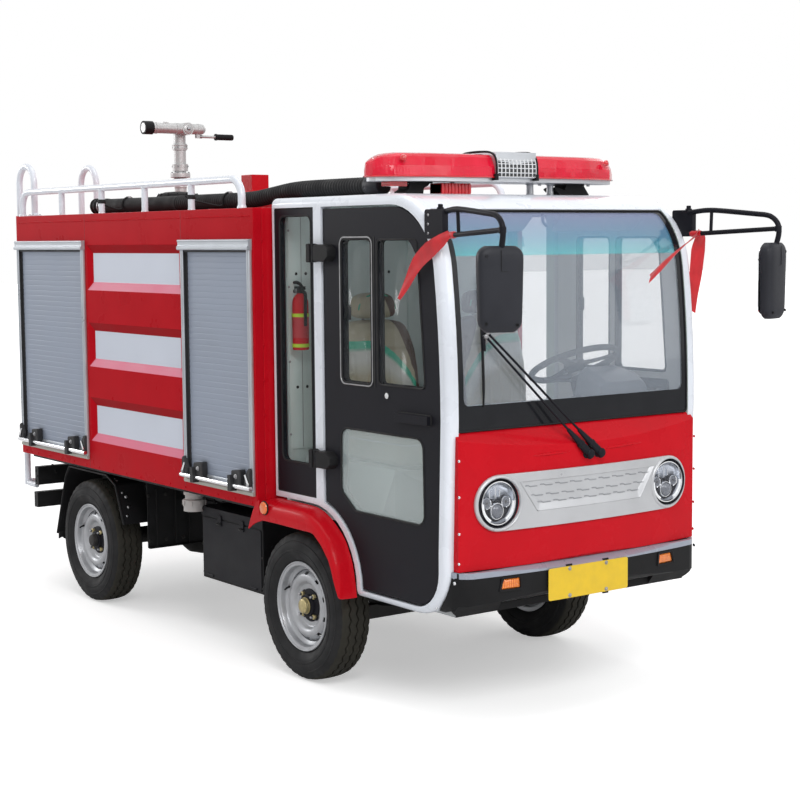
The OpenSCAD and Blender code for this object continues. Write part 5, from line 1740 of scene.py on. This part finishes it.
# Rail and ladder feet, clamps and rung grips
feet = Shape()
for x, r in ((-2488, 17), (-2029, 13), (-1601, 13), (-1177, 13), (-758, 13), (-346, 17)):
    feet.lathe((x, -680, 1872), UPWARD, [(r + 3, -1), (r + 3, 3), (r + 1.5, 6), (r, 12)], 28, 0)
    if r == 13:
        feet.lathe((x, -680, 1872), UPWARD, [(14.6, 0), (14.6, 112)], 28, 0)
feet.mirrored()
for y in (-645, -302):
    feet.lathe((-2422, y, 1872), UPWARD, [(34, -1), (34, 5), (30, 7), (19, 8), (17, 14)], 32, 0)
    for a in around(4, 0.5):
        bolt(feet, (-2422 + 26 * math.cos(a), y + 26 * math.sin(a), 1877), UPWARD, 4, 5, 1)
    feet.tube(smooth_path([(-2600, y, 530), (-2600, y, 512), (-2592, y, 502), (-2570, y, 499),
                           (-2491, y, 499)], 6), 13, 16, 0)
    for z in (900, 1600):
        plate_line = rounded_rect(y - 30, z - 30, y + 30, z + 30, 8, 3)
        feet.rings([front_ring(plate_line, -2530), front_ring(plate_line, -2536)], 0)
        for dy, dz in ((-20, -20), (20, 20), (-20, 20), (20, -20)):
            bolt(feet, (-2536, y + dy, z + dz), BACKWARD, 4, 5, 1)
for k in range(5):
    z = 508 + k * 290
    for y in (-619, -328):
        feet.lathe((-2600, y, z), LEFTWARD, [(13.5, -9), (14.5, -5), (14.5, 5), (13.5, 9)], 20, 0)
piece("rail_feet", feet, [white_paint, steel], sharp=38)


# Light bar: two red lenses, their rotators, a silver grille between them
def between(table, y):
    """Reads a value from pairs of places and values."""
    for (a, p), (b, q) in zip(table, table[1:]):
        if y <= b:
            return p + (q - p) * max(0.0, y - a) / (b - a)
    return table[-1][1]


def lens_section(y):
    """The light bar's lens cut across at one place."""
    front = between(((0, 556), (379, 547), (539, 505), (601, 452), (609, 430)), y)
    back = between(((0, 324), (439, 324), (539, 353), (601, 398), (609, 420)), y)
    low = 1972.5
    high = 2062 - 0.0034 * max(0.0, y - 500) ** 2
    soft = min(1.0, (front - back) / 170)
    tall = high - low
    half = [(0, 0), (1, 0.05), (2.5, 0.46), (8, 0.55), (21, 0.84), (34, 0.955), (54, 1)]
    ring = [(front - d * soft, low + h * tall) for d, h in half]
    ring += [(back + d * soft, low + h * tall) for d, h in reversed(half)]
    return ring


LENS_STATIONS = (101, 140, 200, 300, 379, 439, 480, 510, 539, 560, 578, 590, 599, 605, 608)
lenses = Shape()
for side in (-1, 1):
    lenses.rings([[(x, side * y, z) for x, z in lens_section(y)] for y in LENS_STATIONS], 0)
lens_look = Nodes("beacon_lens")
fluted = lens_look.node("ShaderNodeTexWave", wave_type="BANDS", bands_direction="Y")
fluted.inputs["Scale"].default_value = 26
fluted.inputs["Distortion"].default_value = 0
lens_look.join(lens_look.place, fluted.inputs["Vector"])
lens_look.join(lens_look.ramp(lens_look.noise(9, 3),
                              [(0.3, (0.74, 0.006, 0.03)), (0.7, (0.86, 0.012, 0.05))]),
               lens_look.shader.inputs["Base Color"])
lens_look.join(lens_look.bump(fluted.outputs["Fac"], 0.0012, 0.25), lens_look.shader.inputs["Normal"])
lens_look.set(Roughness=0.1, Alpha=0.84, Specular_IOR_Level=0.2, Coat_Weight=0.25)
lens_look.material.surface_render_method = "BLENDED"
piece("beacon_lenses", lenses, lens_look.material, sharp=24,
      replaces=["light_bar_lenses"])

inside = Shape()
for side in (-1, 1):
    for y, r in ((190, 42), (330, 44), (468, 42), (560, 24)):
        inside.lathe((438, side * y, 1974), UPWARD,
                     [(r + 10, 0), (r + 10, 6), (r, 8), (r, 26), (r * 0.55, 30)], 32, 1)
        inside.lathe((438, side * y, 1974), UPWARD, [(13, 28), (15, 40), (15, 62), (10, 74), (2, 76)],
                     24, 2)
        rings = []
        for k in range(9):
            a = math.radians(-70 + 140 * k / 8)
            rings.append([(438 - r * math.cos(a), side * y + r * math.sin(a), z) for z in (2002, 2046)]
                         + [(438 - (r - 2.5) * math.cos(a), side * y + (r - 2.5) * math.sin(a), z)
                            for z in (2046, 2002)])
        inside.rings(rings, 0)
    edge_line = [(between(((0, 558), (379, 549), (539, 507), (601, 454), (609, 425)), y), side * y, 1974)
                 for y in LENS_STATIONS]
    back_line = [(between(((0, 322), (439, 322), (539, 351), (601, 396), (609, 425)), y), side * y, 1974)
                 for y in LENS_STATIONS]
    inside.tube(edge_line + back_line[::-1], 3.2, 8, 2)
    inside.lathe((520, side * 508, 2040), (0.8, side * 0.55, 0.25),
                 [(12, -8), (12, 2), (10, 5), (6, 7), (1, 7.6)], 24, 2)
lamp_under = rounded_rect(-524, 1938, -446, 1957, 4, 3)
inside.rings([front_ring(lamp_under, 402), front_ring(lamp_under, 458)], 2)
for k in range(9):
    y = -311 + k * 16
    outline = rounded_rect(y - 6, 1909, y + 6, 1951, 4, 3)
    inside.rings([front_ring(outline, 429), front_ring(outline, 500),
                  front_ring(outline, 503, (-248, 1930), (0.999, 0.8))], 2)
inside.box((431, 497), (-317, -178), (1908, 1947), 2)
piece("beacon_insides", inside, [chrome, black_plastic, red_lens], sharp=40)

grid = Shape()
hump = [(562.5, 1975), (563.5, 2000), (562, 2024), (556, 2044), (544, 2058), (526, 2066), (500, 2070.5),
        (440, 2072.5), (380, 2070.5), (354, 2066), (336, 2058), (324, 2044), (318, 2024), (316.5, 2000),
        (317.5, 1975)]
hump_line = smooth_path(side_ring(hump, 0), 3)
grid.rings([[(440 + (p.x - 440) * 0.985, y, 1975 + (p.z - 1975) * 0.978) for p in hump_line]
            for y in (-99.5, 99.5)], 1)
for k in range(11):
    y = -96 + k * 19.2
    grid.tube([(p.x, y, p.z) for p in hump_line], 2.6, 6, 0)
for k in range(0, len(hump_line), 2):
    p = hump_line[k]
    grid.tube([(p.x, -97, p.z), (p.x, 97, p.z)], 2.2, 6, 0)
for y in (-101, 101):
    grid.tube([(p.x + 1, y, p.z + 1) for p in hump_line], 4.2, 8, 2)
    grid.box((520, 566), (y - 7, y + 7), (1962, 1986), 2)
right_foot = [(-430, 1957), (-333, 1957), (-346, 1942), (-366, 1932), (-370, 1909), (-456, 1909),
              (-452, 1919), (-436, 1928)]
left_foot = [(350, 1957), (436, 1957), (474, 1909), (320, 1909), (284, 1936), (300, 1943), (340, 1930)]
for outline in (right_foot, left_foot):
    foot = rounded_outline(outline, 4, 3)
    grid.rings([front_ring(foot, 386), front_ring(foot, 456)], 2)
    grid.box((380, 462), (outline[0][0] - 4, outline[1][0] + 4), (1950, 1957), 2)
for y in (178, 284):
    grid.lathe((430, y, 1908), UPWARD, [(22, -1), (22, 4), (15, 6), (14, 42), (18, 45), (18, 49)], 24, 3)
for y in (-480, -220, 220, 480):
    bolt(grid, (440, y, 1956), DOWNWARD, 7, 8, 3)
dark_gap = finish("grille_dark", (0.06, 0.062, 0.066), 0.5, metal=0.5, vary=0.15)
piece("light_bar_grille", grid, [chrome, dark_gap, black_plastic, silver_paint],
      sharp=40)

# Suction hose on the roof, plain at its rear end and ribbed ahead of that
hose_points = [(-1900, -560, 1910.5), (-1620, -544.7, 1910.5), (-1340, -529.5, 1910.5),
               (-1060, -514.2, 1910.5), (-800, -500, 1910.5), (-640, -491.3, 1911.5),
               (-530, -485.4, 1916), (-411, -479, 1928.8), (-292, -472.6, 1941.5), (-182, -466.6, 1946),
               (-22, -457.8, 1947), (140, -448.8, 1947), (300, -440, 1947)]
hose_line = smooth_path(hose_points, 12)
measured = [0.0]
for a, b in zip(hose_line, hose_line[1:]):
    measured.append(measured[-1] + (b - a).length)
hose_long = measured[-1]


def hose_at(s):
    """The place on the hose at a length from its rear end."""
    s = max(0.0, min(hose_long, s))
    for k in range(len(measured) - 1):
        if s <= measured[k + 1]:
            t = (s - measured[k]) / (measured[k + 1] - measured[k])
            return hose_line[k].lerp(hose_line[k + 1], t)
    return hose_line[-1]


line = []
radii = []
s = 0.0
while s < hose_long:
    ribbed = s > 720
    line.append(hose_at(s))
    radii.append(33 + 1.5 * math.cos(math.tau * (s - 720) / 17) if ribbed else 33)
    s += 17 / 6 if ribbed else 30
line.append(hose_at(hose_long))
radii.append(33)
hose = piece("roof_hose", Shape().tube(line, radii, 24), rubber, sharp=70,
             replaces=["suction_hose"])
cuffs = Shape()
way = (hose_line[1] - hose_line[0]).normalized()
cuffs.lathe(hose_line[0], way,
            [(30, -1), (36, 0), (38, 3), (38, 12), (35.5, 15), (35.5, 30), (38, 33), (38, 44), (35, 48),
             (35, 120), (34, 124)], 40, 1)
for k in range(3):
    cuffs.lathe(hose_line[0] + way * (64 + k * 18), way, [(35, -4), (36.6, -3), (36.6, 3), (35, 4)], 36, 2)
front_way = (hose_line[-2] - hose_line[-1]).normalized()
cuffs.lathe(hose_line[-1], front_way, [(26, 6), (26, -1), (36, 0), (38, 4), (38, 84), (36, 88), (34, 90)],
            40, 0)
for k in range(5):
    cuffs.lathe(hose_line[-1] + front_way * (14 + k * 15), front_way,
                [(37, -3), (38, -2), (38, 2), (37, 3)], 36, 0)
cuff_piece = piece("hose_cuffs", cuffs, [dark_grey, black_plastic, steel], sharp=40)

# Straps that hold the hose to the rail posts
straps = Shape()
for post_x in (-1601, -758):
    centre = hose_at(post_x + 1900)
    loop = []
    for k in range(28):
        a = math.radians(200 - 320 * k / 27)
        loop.append((post_x + 6, centre.y + 36.5 * math.cos(a), centre.z + 36.5 * math.sin(a)))
    straps.tube(loop, 4.2, 8, 0)
    straps.tube(smooth_path([(post_x + 6, centre.y - 34, centre.z - 14),
                             (post_x + 4, centre.y - 58, centre.z - 20), (post_x - 4, -668, centre.z + 2),
                             (post_x - 22, -690, centre.z + 16), (post_x - 20, -697, centre.z + 24)], 6),
                4, 8, 0)
    straps.lathe((post_x, -680, centre.z + 16), UPWARD, [(17, -9), (18.5, -8), (18.5, 8), (17, 9)], 24, 0)
    straps.box((post_x - 4, post_x + 16), (centre.y - 8, centre.y + 8), (centre.z + 33, centre.z + 41), 1)
piece("hose_straps", straps, [rubber, steel], sharp=60)

# Monitor: flange bolts, collars, nozzle and grip
MONITOR_X = -2080
post = Shape()
for a in around(6):
    bolt(post, (MONITOR_X + 62 * math.cos(a), 62 * math.sin(a), 1886), UPWARD, 6, 8, 1)
    bolt(post, (MONITOR_X + 42 * math.cos(a), 42 * math.sin(a), 2085), UPWARD, 4.5, 6, 1)
post.lathe((MONITOR_X, 0, 1886), UPWARD, [(40, 0), (38, 8), (33, 16), (30, 20)], 36, 0)
post.lathe((MONITOR_X, 0, 2046), UPWARD, [(30, -8), (36, -6), (37, 4), (37, 10), (30, 14)], 36, 0)
post.lathe((MONITOR_X, 0, 2008), UPWARD, [(30.2, 0), (31.6, 2), (31.6, 10), (30.2, 12)], 36, 0)
piece("monitor_post_fittings", post, [cast_metal, steel], sharp=38)
head = Shape()
for z, tall in ((2112, 5), (2122, 5), (2206, 4), (2222, 4)):
    head.lathe((MONITOR_X, 0, z), UPWARD, [(36, -1), (40, 0), (40, tall), (36, tall + 1)], 40, 0)
for a in around(4, 0.5):
    bolt(head, (MONITOR_X + 39 * math.cos(a), 39 * math.sin(a), 2118), (math.cos(a), math.sin(a), 0), 4, 5, 1)
    bolt(head, (MONITOR_X + 36 * math.cos(a), 36 * math.sin(a), 2216), (math.cos(a), math.sin(a), 0), 3.5,
         4, 1)
head.lathe((MONITOR_X, 0, 2331), UPWARD, [(31, -3), (24, 1.5), (8, 3.5), (2, 3.8)], 32, 0)
piece("monitor_head_fittings", head, [cast_metal, steel], "gun_head", sharp=38)
gun = Shape()
BARREL_X = -2014
BARREL_Z = 2303
for a in around(30):
    gun.box((-1.6, 1.6), (4, 44), (30, 32.9), 1, spun((BARREL_X, -240, BARREL_Z), a, "Y"))
gun.lathe((BARREL_X, -240, BARREL_Z), LEFTWARD,
          [(24, -0.5), (22, 4), (19.6, 10), (18.4, 60), (8, 62), (2, 62)], 36, 0)
for y, r, wide in ((-176, 28.5, 9), (-62, 28, 16), (60, 27.6, 12)):
    gun.lathe((BARREL_X, y, BARREL_Z), LEFTWARD, [(26, 0), (r, 1), (r, wide), (26, wide + 1)], 40, 0)
gun.box((BARREL_X - 12, BARREL_X + 12), (-132, -104), (BARREL_Z + 22, BARREL_Z + 29), 0)
for y in (-124, -112):
    bolt(gun, (BARREL_X, y, BARREL_Z + 28), UPWARD, 3.4, 4, 2)
gun.lathe((BARREL_X, 168, BARREL_Z - 36), LEFTWARD, [(14, 0), (17, 1), (17, 8), (14.5, 11)], 28, 1)
for k in range(9):
    gun.lathe((BARREL_X, 182 + k * 10, BARREL_Z - 36), LEFTWARD,
              [(14, -3.4), (15.2, -2.4), (15.2, 2.4), (14, 3.4)], 24, 1)
gun.lathe((BARREL_X, 270, BARREL_Z - 36), LEFTWARD, [(14.6, -8), (14.6, -1.5), (11, 0), (2, 0)], 24, 1)
gun.lathe((BARREL_X, 76, BARREL_Z - 36), LEFTWARD, [(9, 0), (9, 14), (7, 16)], 20, 2)
gun.lathe((BARREL_X + 28, 0, BARREL_Z), FORWARD, [(25, -3), (25, 0.5), (20, 3), (8, 3.5)], 32, 0)
bolt(gun, (BARREL_X + 31, 0, BARREL_Z), FORWARD, 9, 8, 2)
piece("monitor_barrel_fittings", gun, [cast_metal, black_plastic, steel], "gun_barrel",
      sharp=38)


# Rear mudguards: rolled lips, bolts and rubber flaps
guards = Shape()
arch = [(-2245, 285), (-2130, 586), (-2085, 640), (-1680, 640), (-1590, 601), (-1512, 423)]
guards.tube(side_ring(arch, -651), 6, 10, 0)
guards.tube(side_ring(arch, -502), 4, 8, 0)
for (x0, z0), (x1, z1) in zip(arch, arch[1:]):
    long = math.dist((x0, z0), (x1, z1))
    out = Vector((-(z1 - z0), 0, x1 - x0)).normalized()
    for t in (40 / long, 1 - 40 / long):
        spot = Vector((x0 + (x1 - x0) * t, -625, z0 + (z1 - z0) * t))
        screw(guards, spot, out, 6, 1)
flap = []
for k in range(9):
    y = -648 + 140 * k / 8
    flap.append((y, 256 + (7 if k % 3 == 1 else 0) - (5 if k % 4 == 2 else 0)))
flap = [(-508, 330), (-648, 330)] + flap
guards.rings([[(-2238 - (330 - z) * 0.06, y, z) for y, z in flap],
              [(-2233 - (330 - z) * 0.06, y, z) for y, z in flap]], 3)
guards.box((-2241, -2234), (-644, -512), (300, 326), 4)
for y in (-625, -578, -531):
    bolt(guards, (-2241, y, 313), BACKWARD, 5, 6, 4)
for y, z in ((-640, 548), (-628, 498)):
    guards.lathe((-1546, y + 20, z), (0.9, 0, 0.4), [(8, -2), (8, 2), (6, 4), (2, 5)], 16, 4)
guards.box((-1600, -1436), (-520, -300), (636, 646), 0)
guards.mirrored()
piece("mudguard_lips", guards, [black_plastic, steel, black_paint, rubber, steel],
      sharp=38)

# Splash plate ahead of the rear axle, with its stiffening folds
splash = Shape()
splash.box((-1441, -1437), (-566, 566), (314, 640), 0)
splash.box((-1437, -1415), (-566, 566), (312, 316), 0)
for y in (-520, -420, -350, 350, 420, 520):
    splash.box((-1437, -1427), (y - 3, y + 3), (316, 588), 0)
for y in (-560, -470, -380, -150, 150, 380, 470, 560):
    bolt(splash, (-1437, y, 345), FORWARD, 7, 7, 1)
    bolt(splash, (-1437, y, 560), FORWARD, 7, 7, 1)
piece("splash_plate", splash, [frame_black, iron], bevel=1)

# Battery boxes: lids, doors, handles, hinges and vents
boxes = Shape()
door = rounded_rect(-848, 287, -367, 545, 10, 4)
boxes.rings([side_ring(door, -599), side_ring(door, -603),
             side_ring(door, -604, (-607, 416), (0.992, 0.985))], 0)
boxes.box((-866, -349), (-606, -300), (574, 590), 0)
boxes.box((-862, -353), (-604, -598), (552, 574), 0)
for x in (-790, -430):
    boxes.lathe((x, -603, 293), FORWARD, [(6, -28), (6, 28)], 12, 0)
for x in (-700, -514):
    latch = rounded_rect(x - 14, 520, x + 14, 566, 4, 3)
    boxes.rings([side_ring(latch, -603), side_ring(latch, -609)], 0)
    boxes.tube(smooth_path([(x - 9, -608, 534), (x - 9, -617, 530), (x + 9, -617, 530),
                            (x + 9, -608, 534)], 4), 2.4, 8, 1)
for k in range(5):
    boxes.box((-864, -859), (-560 + k * 44, -530 + k * 44), (470, 478), 0)
    boxes.box((-356, -351), (-560 + k * 44, -530 + k * 44), (470, 478), 0)
for z in (300, 430, 560):
    for x in (-852, -363):
        boxes.lathe((x, -600, z), RIGHTWARD, [(5, -1), (5, 1), (3.6, 2.6), (1, 3)], 12, 1)
boxes.mirrored()
box_black = finish("box_black", (0.016, 0.016, 0.019), 0.5, vary=0.12, grain=0.12, grain_size=500, spec=0.12)
piece("battery_doors", boxes, [box_black, iron], bevel=1)

# Wiring, brake lines, outlet fittings and rear end hardware
runs = Shape()
for y, z, r in ((-306, 560, 7), (-308, 542, 5), (-306, 526, 4), (306, 556, 6)):
    runs.tube(smooth_path([(-2400, y, z), (-1900, y, z + 4), (-1400, y, z - 2), (-900, y, z + 2),
                           (-440, y, z)], 10), r, 8, 0)
    for x in (-2300, -1800, -1250, -980):
        runs.box((x - 5, x + 5), (y - 9, y + 9), (z - 10, z + 10), 2)
for y in (-590, 590):
    for x in (-2300, -700):
        runs.box((x - 20, x + 20), (min(y, y * 0.82), max(y, y * 0.82)), (641, 651), 1)
runs.lathe((-892, -620, 650), DOWNWARD,
           [(46, -2), (46, 12), (40, 16), (40, 30), (50, 34), (50, 60), (47, 66), (47, 84), (40, 84),
            (38, 40)], 40, 3)
for a in around(8):
    runs.box((44, 54), (-5, 5), (-58, -38), 3, spun((-892, -620, 650), a, "Z"))
for y in (-560, -520, 520, 560):
    for z in (530, 574):
        bolt(runs, (-2490, y, z), BACKWARD, 7, 7, 1)
    bolt(runs, (-2490, y, 430), BACKWARD, 7, 7, 1)
for x, z in ((-2478, 525), (-2478, 575), (-2462, 550)):
    bolt(runs, (x, -655, z), RIGHTWARD, 4.5, 4, 1)
for side in (-1, 1):
    runs.tube(smooth_path([(-2440, side * 560, 560), (-2470, side * 566, 600), (-2492, side * 560, 570)],
                          6), 5, 8, 0)
pvc_grey = finish("pipe_grey", (0.46, 0.44, 0.43), 0.45, vary=0.08, grain=0.1, grain_size=300)
piece("under_runs", runs, [rubber, iron, black_plastic, pvc_grey], sharp=40)

# Axle housing, motor and shock absorbers
axle = Shape()
axle.lathe((-1880, 0, 296), LEFTWARD,
           [(52, -190), (70, -150), (118, -96), (132, -40), (132, 40), (118, 96), (70, 150), (52, 190)],
           40, 0)
axle.lathe((-1790, 0, 300), FORWARD,
           [(96, -10), (112, 4), (112, 40), (104, 44), (104, 250), (112, 254), (112, 276), (90, 284),
            (30, 286)], 40, 0)
for a in around(16):
    axle.box((40, 250), (-2, 2), (102, 112), 0, spun((-1790, 0, 300), a, "X"))
for side in (-1, 1):
    for low, high in (((-1835, side * 330, 280), (-1720, side * 316, 585)),
                      ((45, side * 330, 300), (160, side * 330, 640))):
        a = Vector(low)
        b = Vector(high)
        axle.tube([a, a.lerp(b, 0.55)], 26, 20, 1)
        axle.tube([a.lerp(b, 0.5), b], 19, 20, 1)
    for x in (-1915, -1845):
        axle.tube([(x, side * 275, 250), (x, side * 275, 400)], 7, 8, 1)
        bolt(axle, (x, side * 275, 250), DOWNWARD, 11, 12, 1)
    axle.box((-1925, -1835), (side * 275 - 34, side * 275 + 34), (246, 256), 1)
piece("axle_units", axle, [iron, frame_black], bevel=1)

# Camera at the photograph's place
yaw = math.radians(36.21)
pitch = math.radians(5.47)
roll = math.radians(-0.483)
ahead = Vector((-math.cos(yaw) * math.cos(pitch), math.sin(yaw) * math.cos(pitch), -math.sin(pitch)))
right = Vector((math.sin(yaw), math.cos(yaw), 0))
up = right.cross(ahead)
right, up = right * math.cos(roll) + up * math.sin(roll), up * math.cos(roll) - right * math.sin(roll)
turn = Matrix((right, up, -ahead)).transposed().to_4x4()
lens = bpy.data.cameras.new("camera")
SENSOR_MM = 36
PHOTO_PIXELS = 800
FOCAL_PIXELS = 1684.4
lens.sensor_width = SENSOR_MM
lens.lens = FOCAL_PIXELS / PHOTO_PIXELS * SENSOR_MM
lens.clip_end = 200
camera = link(bpy.data.objects.new("camera", lens))
camera.matrix_world = Matrix.Translation((6.19175, -4.206, 1.744)) @ turn
bpy.context.scene.camera = camera

# Floor and light
floor_mesh = bpy.data.meshes.new("floor")
floor_mesh.from_pydata([(-60, -60, 0), (60, -60, 0), (60, 60, 0), (-60, 60, 0)], [], [[0, 1, 2, 3]])
floor_look = Nodes("floor")
floor_look.set(Base_Color=(0.93, 0.93, 0.93, 1), Roughness=0.9, Specular_IOR_Level=0.1,
               Emission_Color=(1, 1, 1, 1))
rays = floor_look.node("ShaderNodeLightPath")
lift = floor_look.node("ShaderNodeMath", operation="MULTIPLY")
floor_look.join(rays.outputs["Is Camera Ray"], lift.inputs[0])
far = floor_look.node("ShaderNodeVectorMath", operation="LENGTH")
floor_look.join(floor_look.place, far.inputs[0])
floor_look.join(floor_look.spread(far.outputs["Value"], 0.44, 0.9, 4, 11), lift.inputs[1])
floor_look.join(lift.outputs["Value"], floor_look.shader.inputs["Emission Strength"])
floor_mesh.materials.append(floor_look.material)
floor = link(bpy.data.objects.new("floor", floor_mesh))
floor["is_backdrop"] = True

world = bpy.data.worlds.new("studio")
world.use_nodes = True
sky = world.node_tree
light_rays = sky.nodes.new("ShaderNodeLightPath")
seen = None
for name in ("Is Camera Ray", "Is Glossy Ray", "Is Transmission Ray"):
    if seen is None:
        seen = light_rays.outputs[name]
        continue
    either = sky.nodes.new("ShaderNodeMath")
    either.operation = "MAXIMUM"
    sky.links.new(seen, either.inputs[0])
    sky.links.new(light_rays.outputs[name], either.inputs[1])
    seen = either.outputs["Value"]
level = sky.nodes.new("ShaderNodeMapRange")
level.inputs["To Min"].default_value = 0.46
level.inputs["To Max"].default_value = 1.0
sky.links.new(seen, level.inputs["Value"])
sky.nodes["Background"].inputs["Color"].default_value = (1, 1, 1, 1)
sky.links.new(level.outputs["Result"], sky.nodes["Background"].inputs["Strength"])
bpy.context.scene.world = world


def lamp(name, place, target, size, power):
    """A rectangular lamp that faces its target."""
    data = bpy.data.lights.new(name, "AREA")
    data.shape = "RECTANGLE"
    data.size = size[0]
    data.size_y = size[1]
    data.energy = power
    made = link(bpy.data.objects.new(name, data))
    made.location = place
    made.rotation_mode = "QUATERNION"
    made.rotation_quaternion = (Vector(target) - Vector(place)).to_track_quat("-Z", "Y")


lamp("key", (7.2, -3.2, 6.2), (0.4, 0, 0.9), (4, 3), 290)
lamp("front", (7.5, 2.0, 3.6), (0.8, 0, 1.0), (3.5, 2.5), 80)
lamp("top", (0, 0, 7.5), (0, 0, 1), (6, 4), 140)
lamp("rear_side", (-6.9, -3.4, 3.4), (-0.8, -0.7, 1.1), (2.6, 2.0), 105)
lamp("left_high", (-2.5, 6.5, 5.0), (0, 0, 1.0), (3, 2), 50)
bpy.context.scene.view_settings.view_transform = "Standard"

low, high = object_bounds()
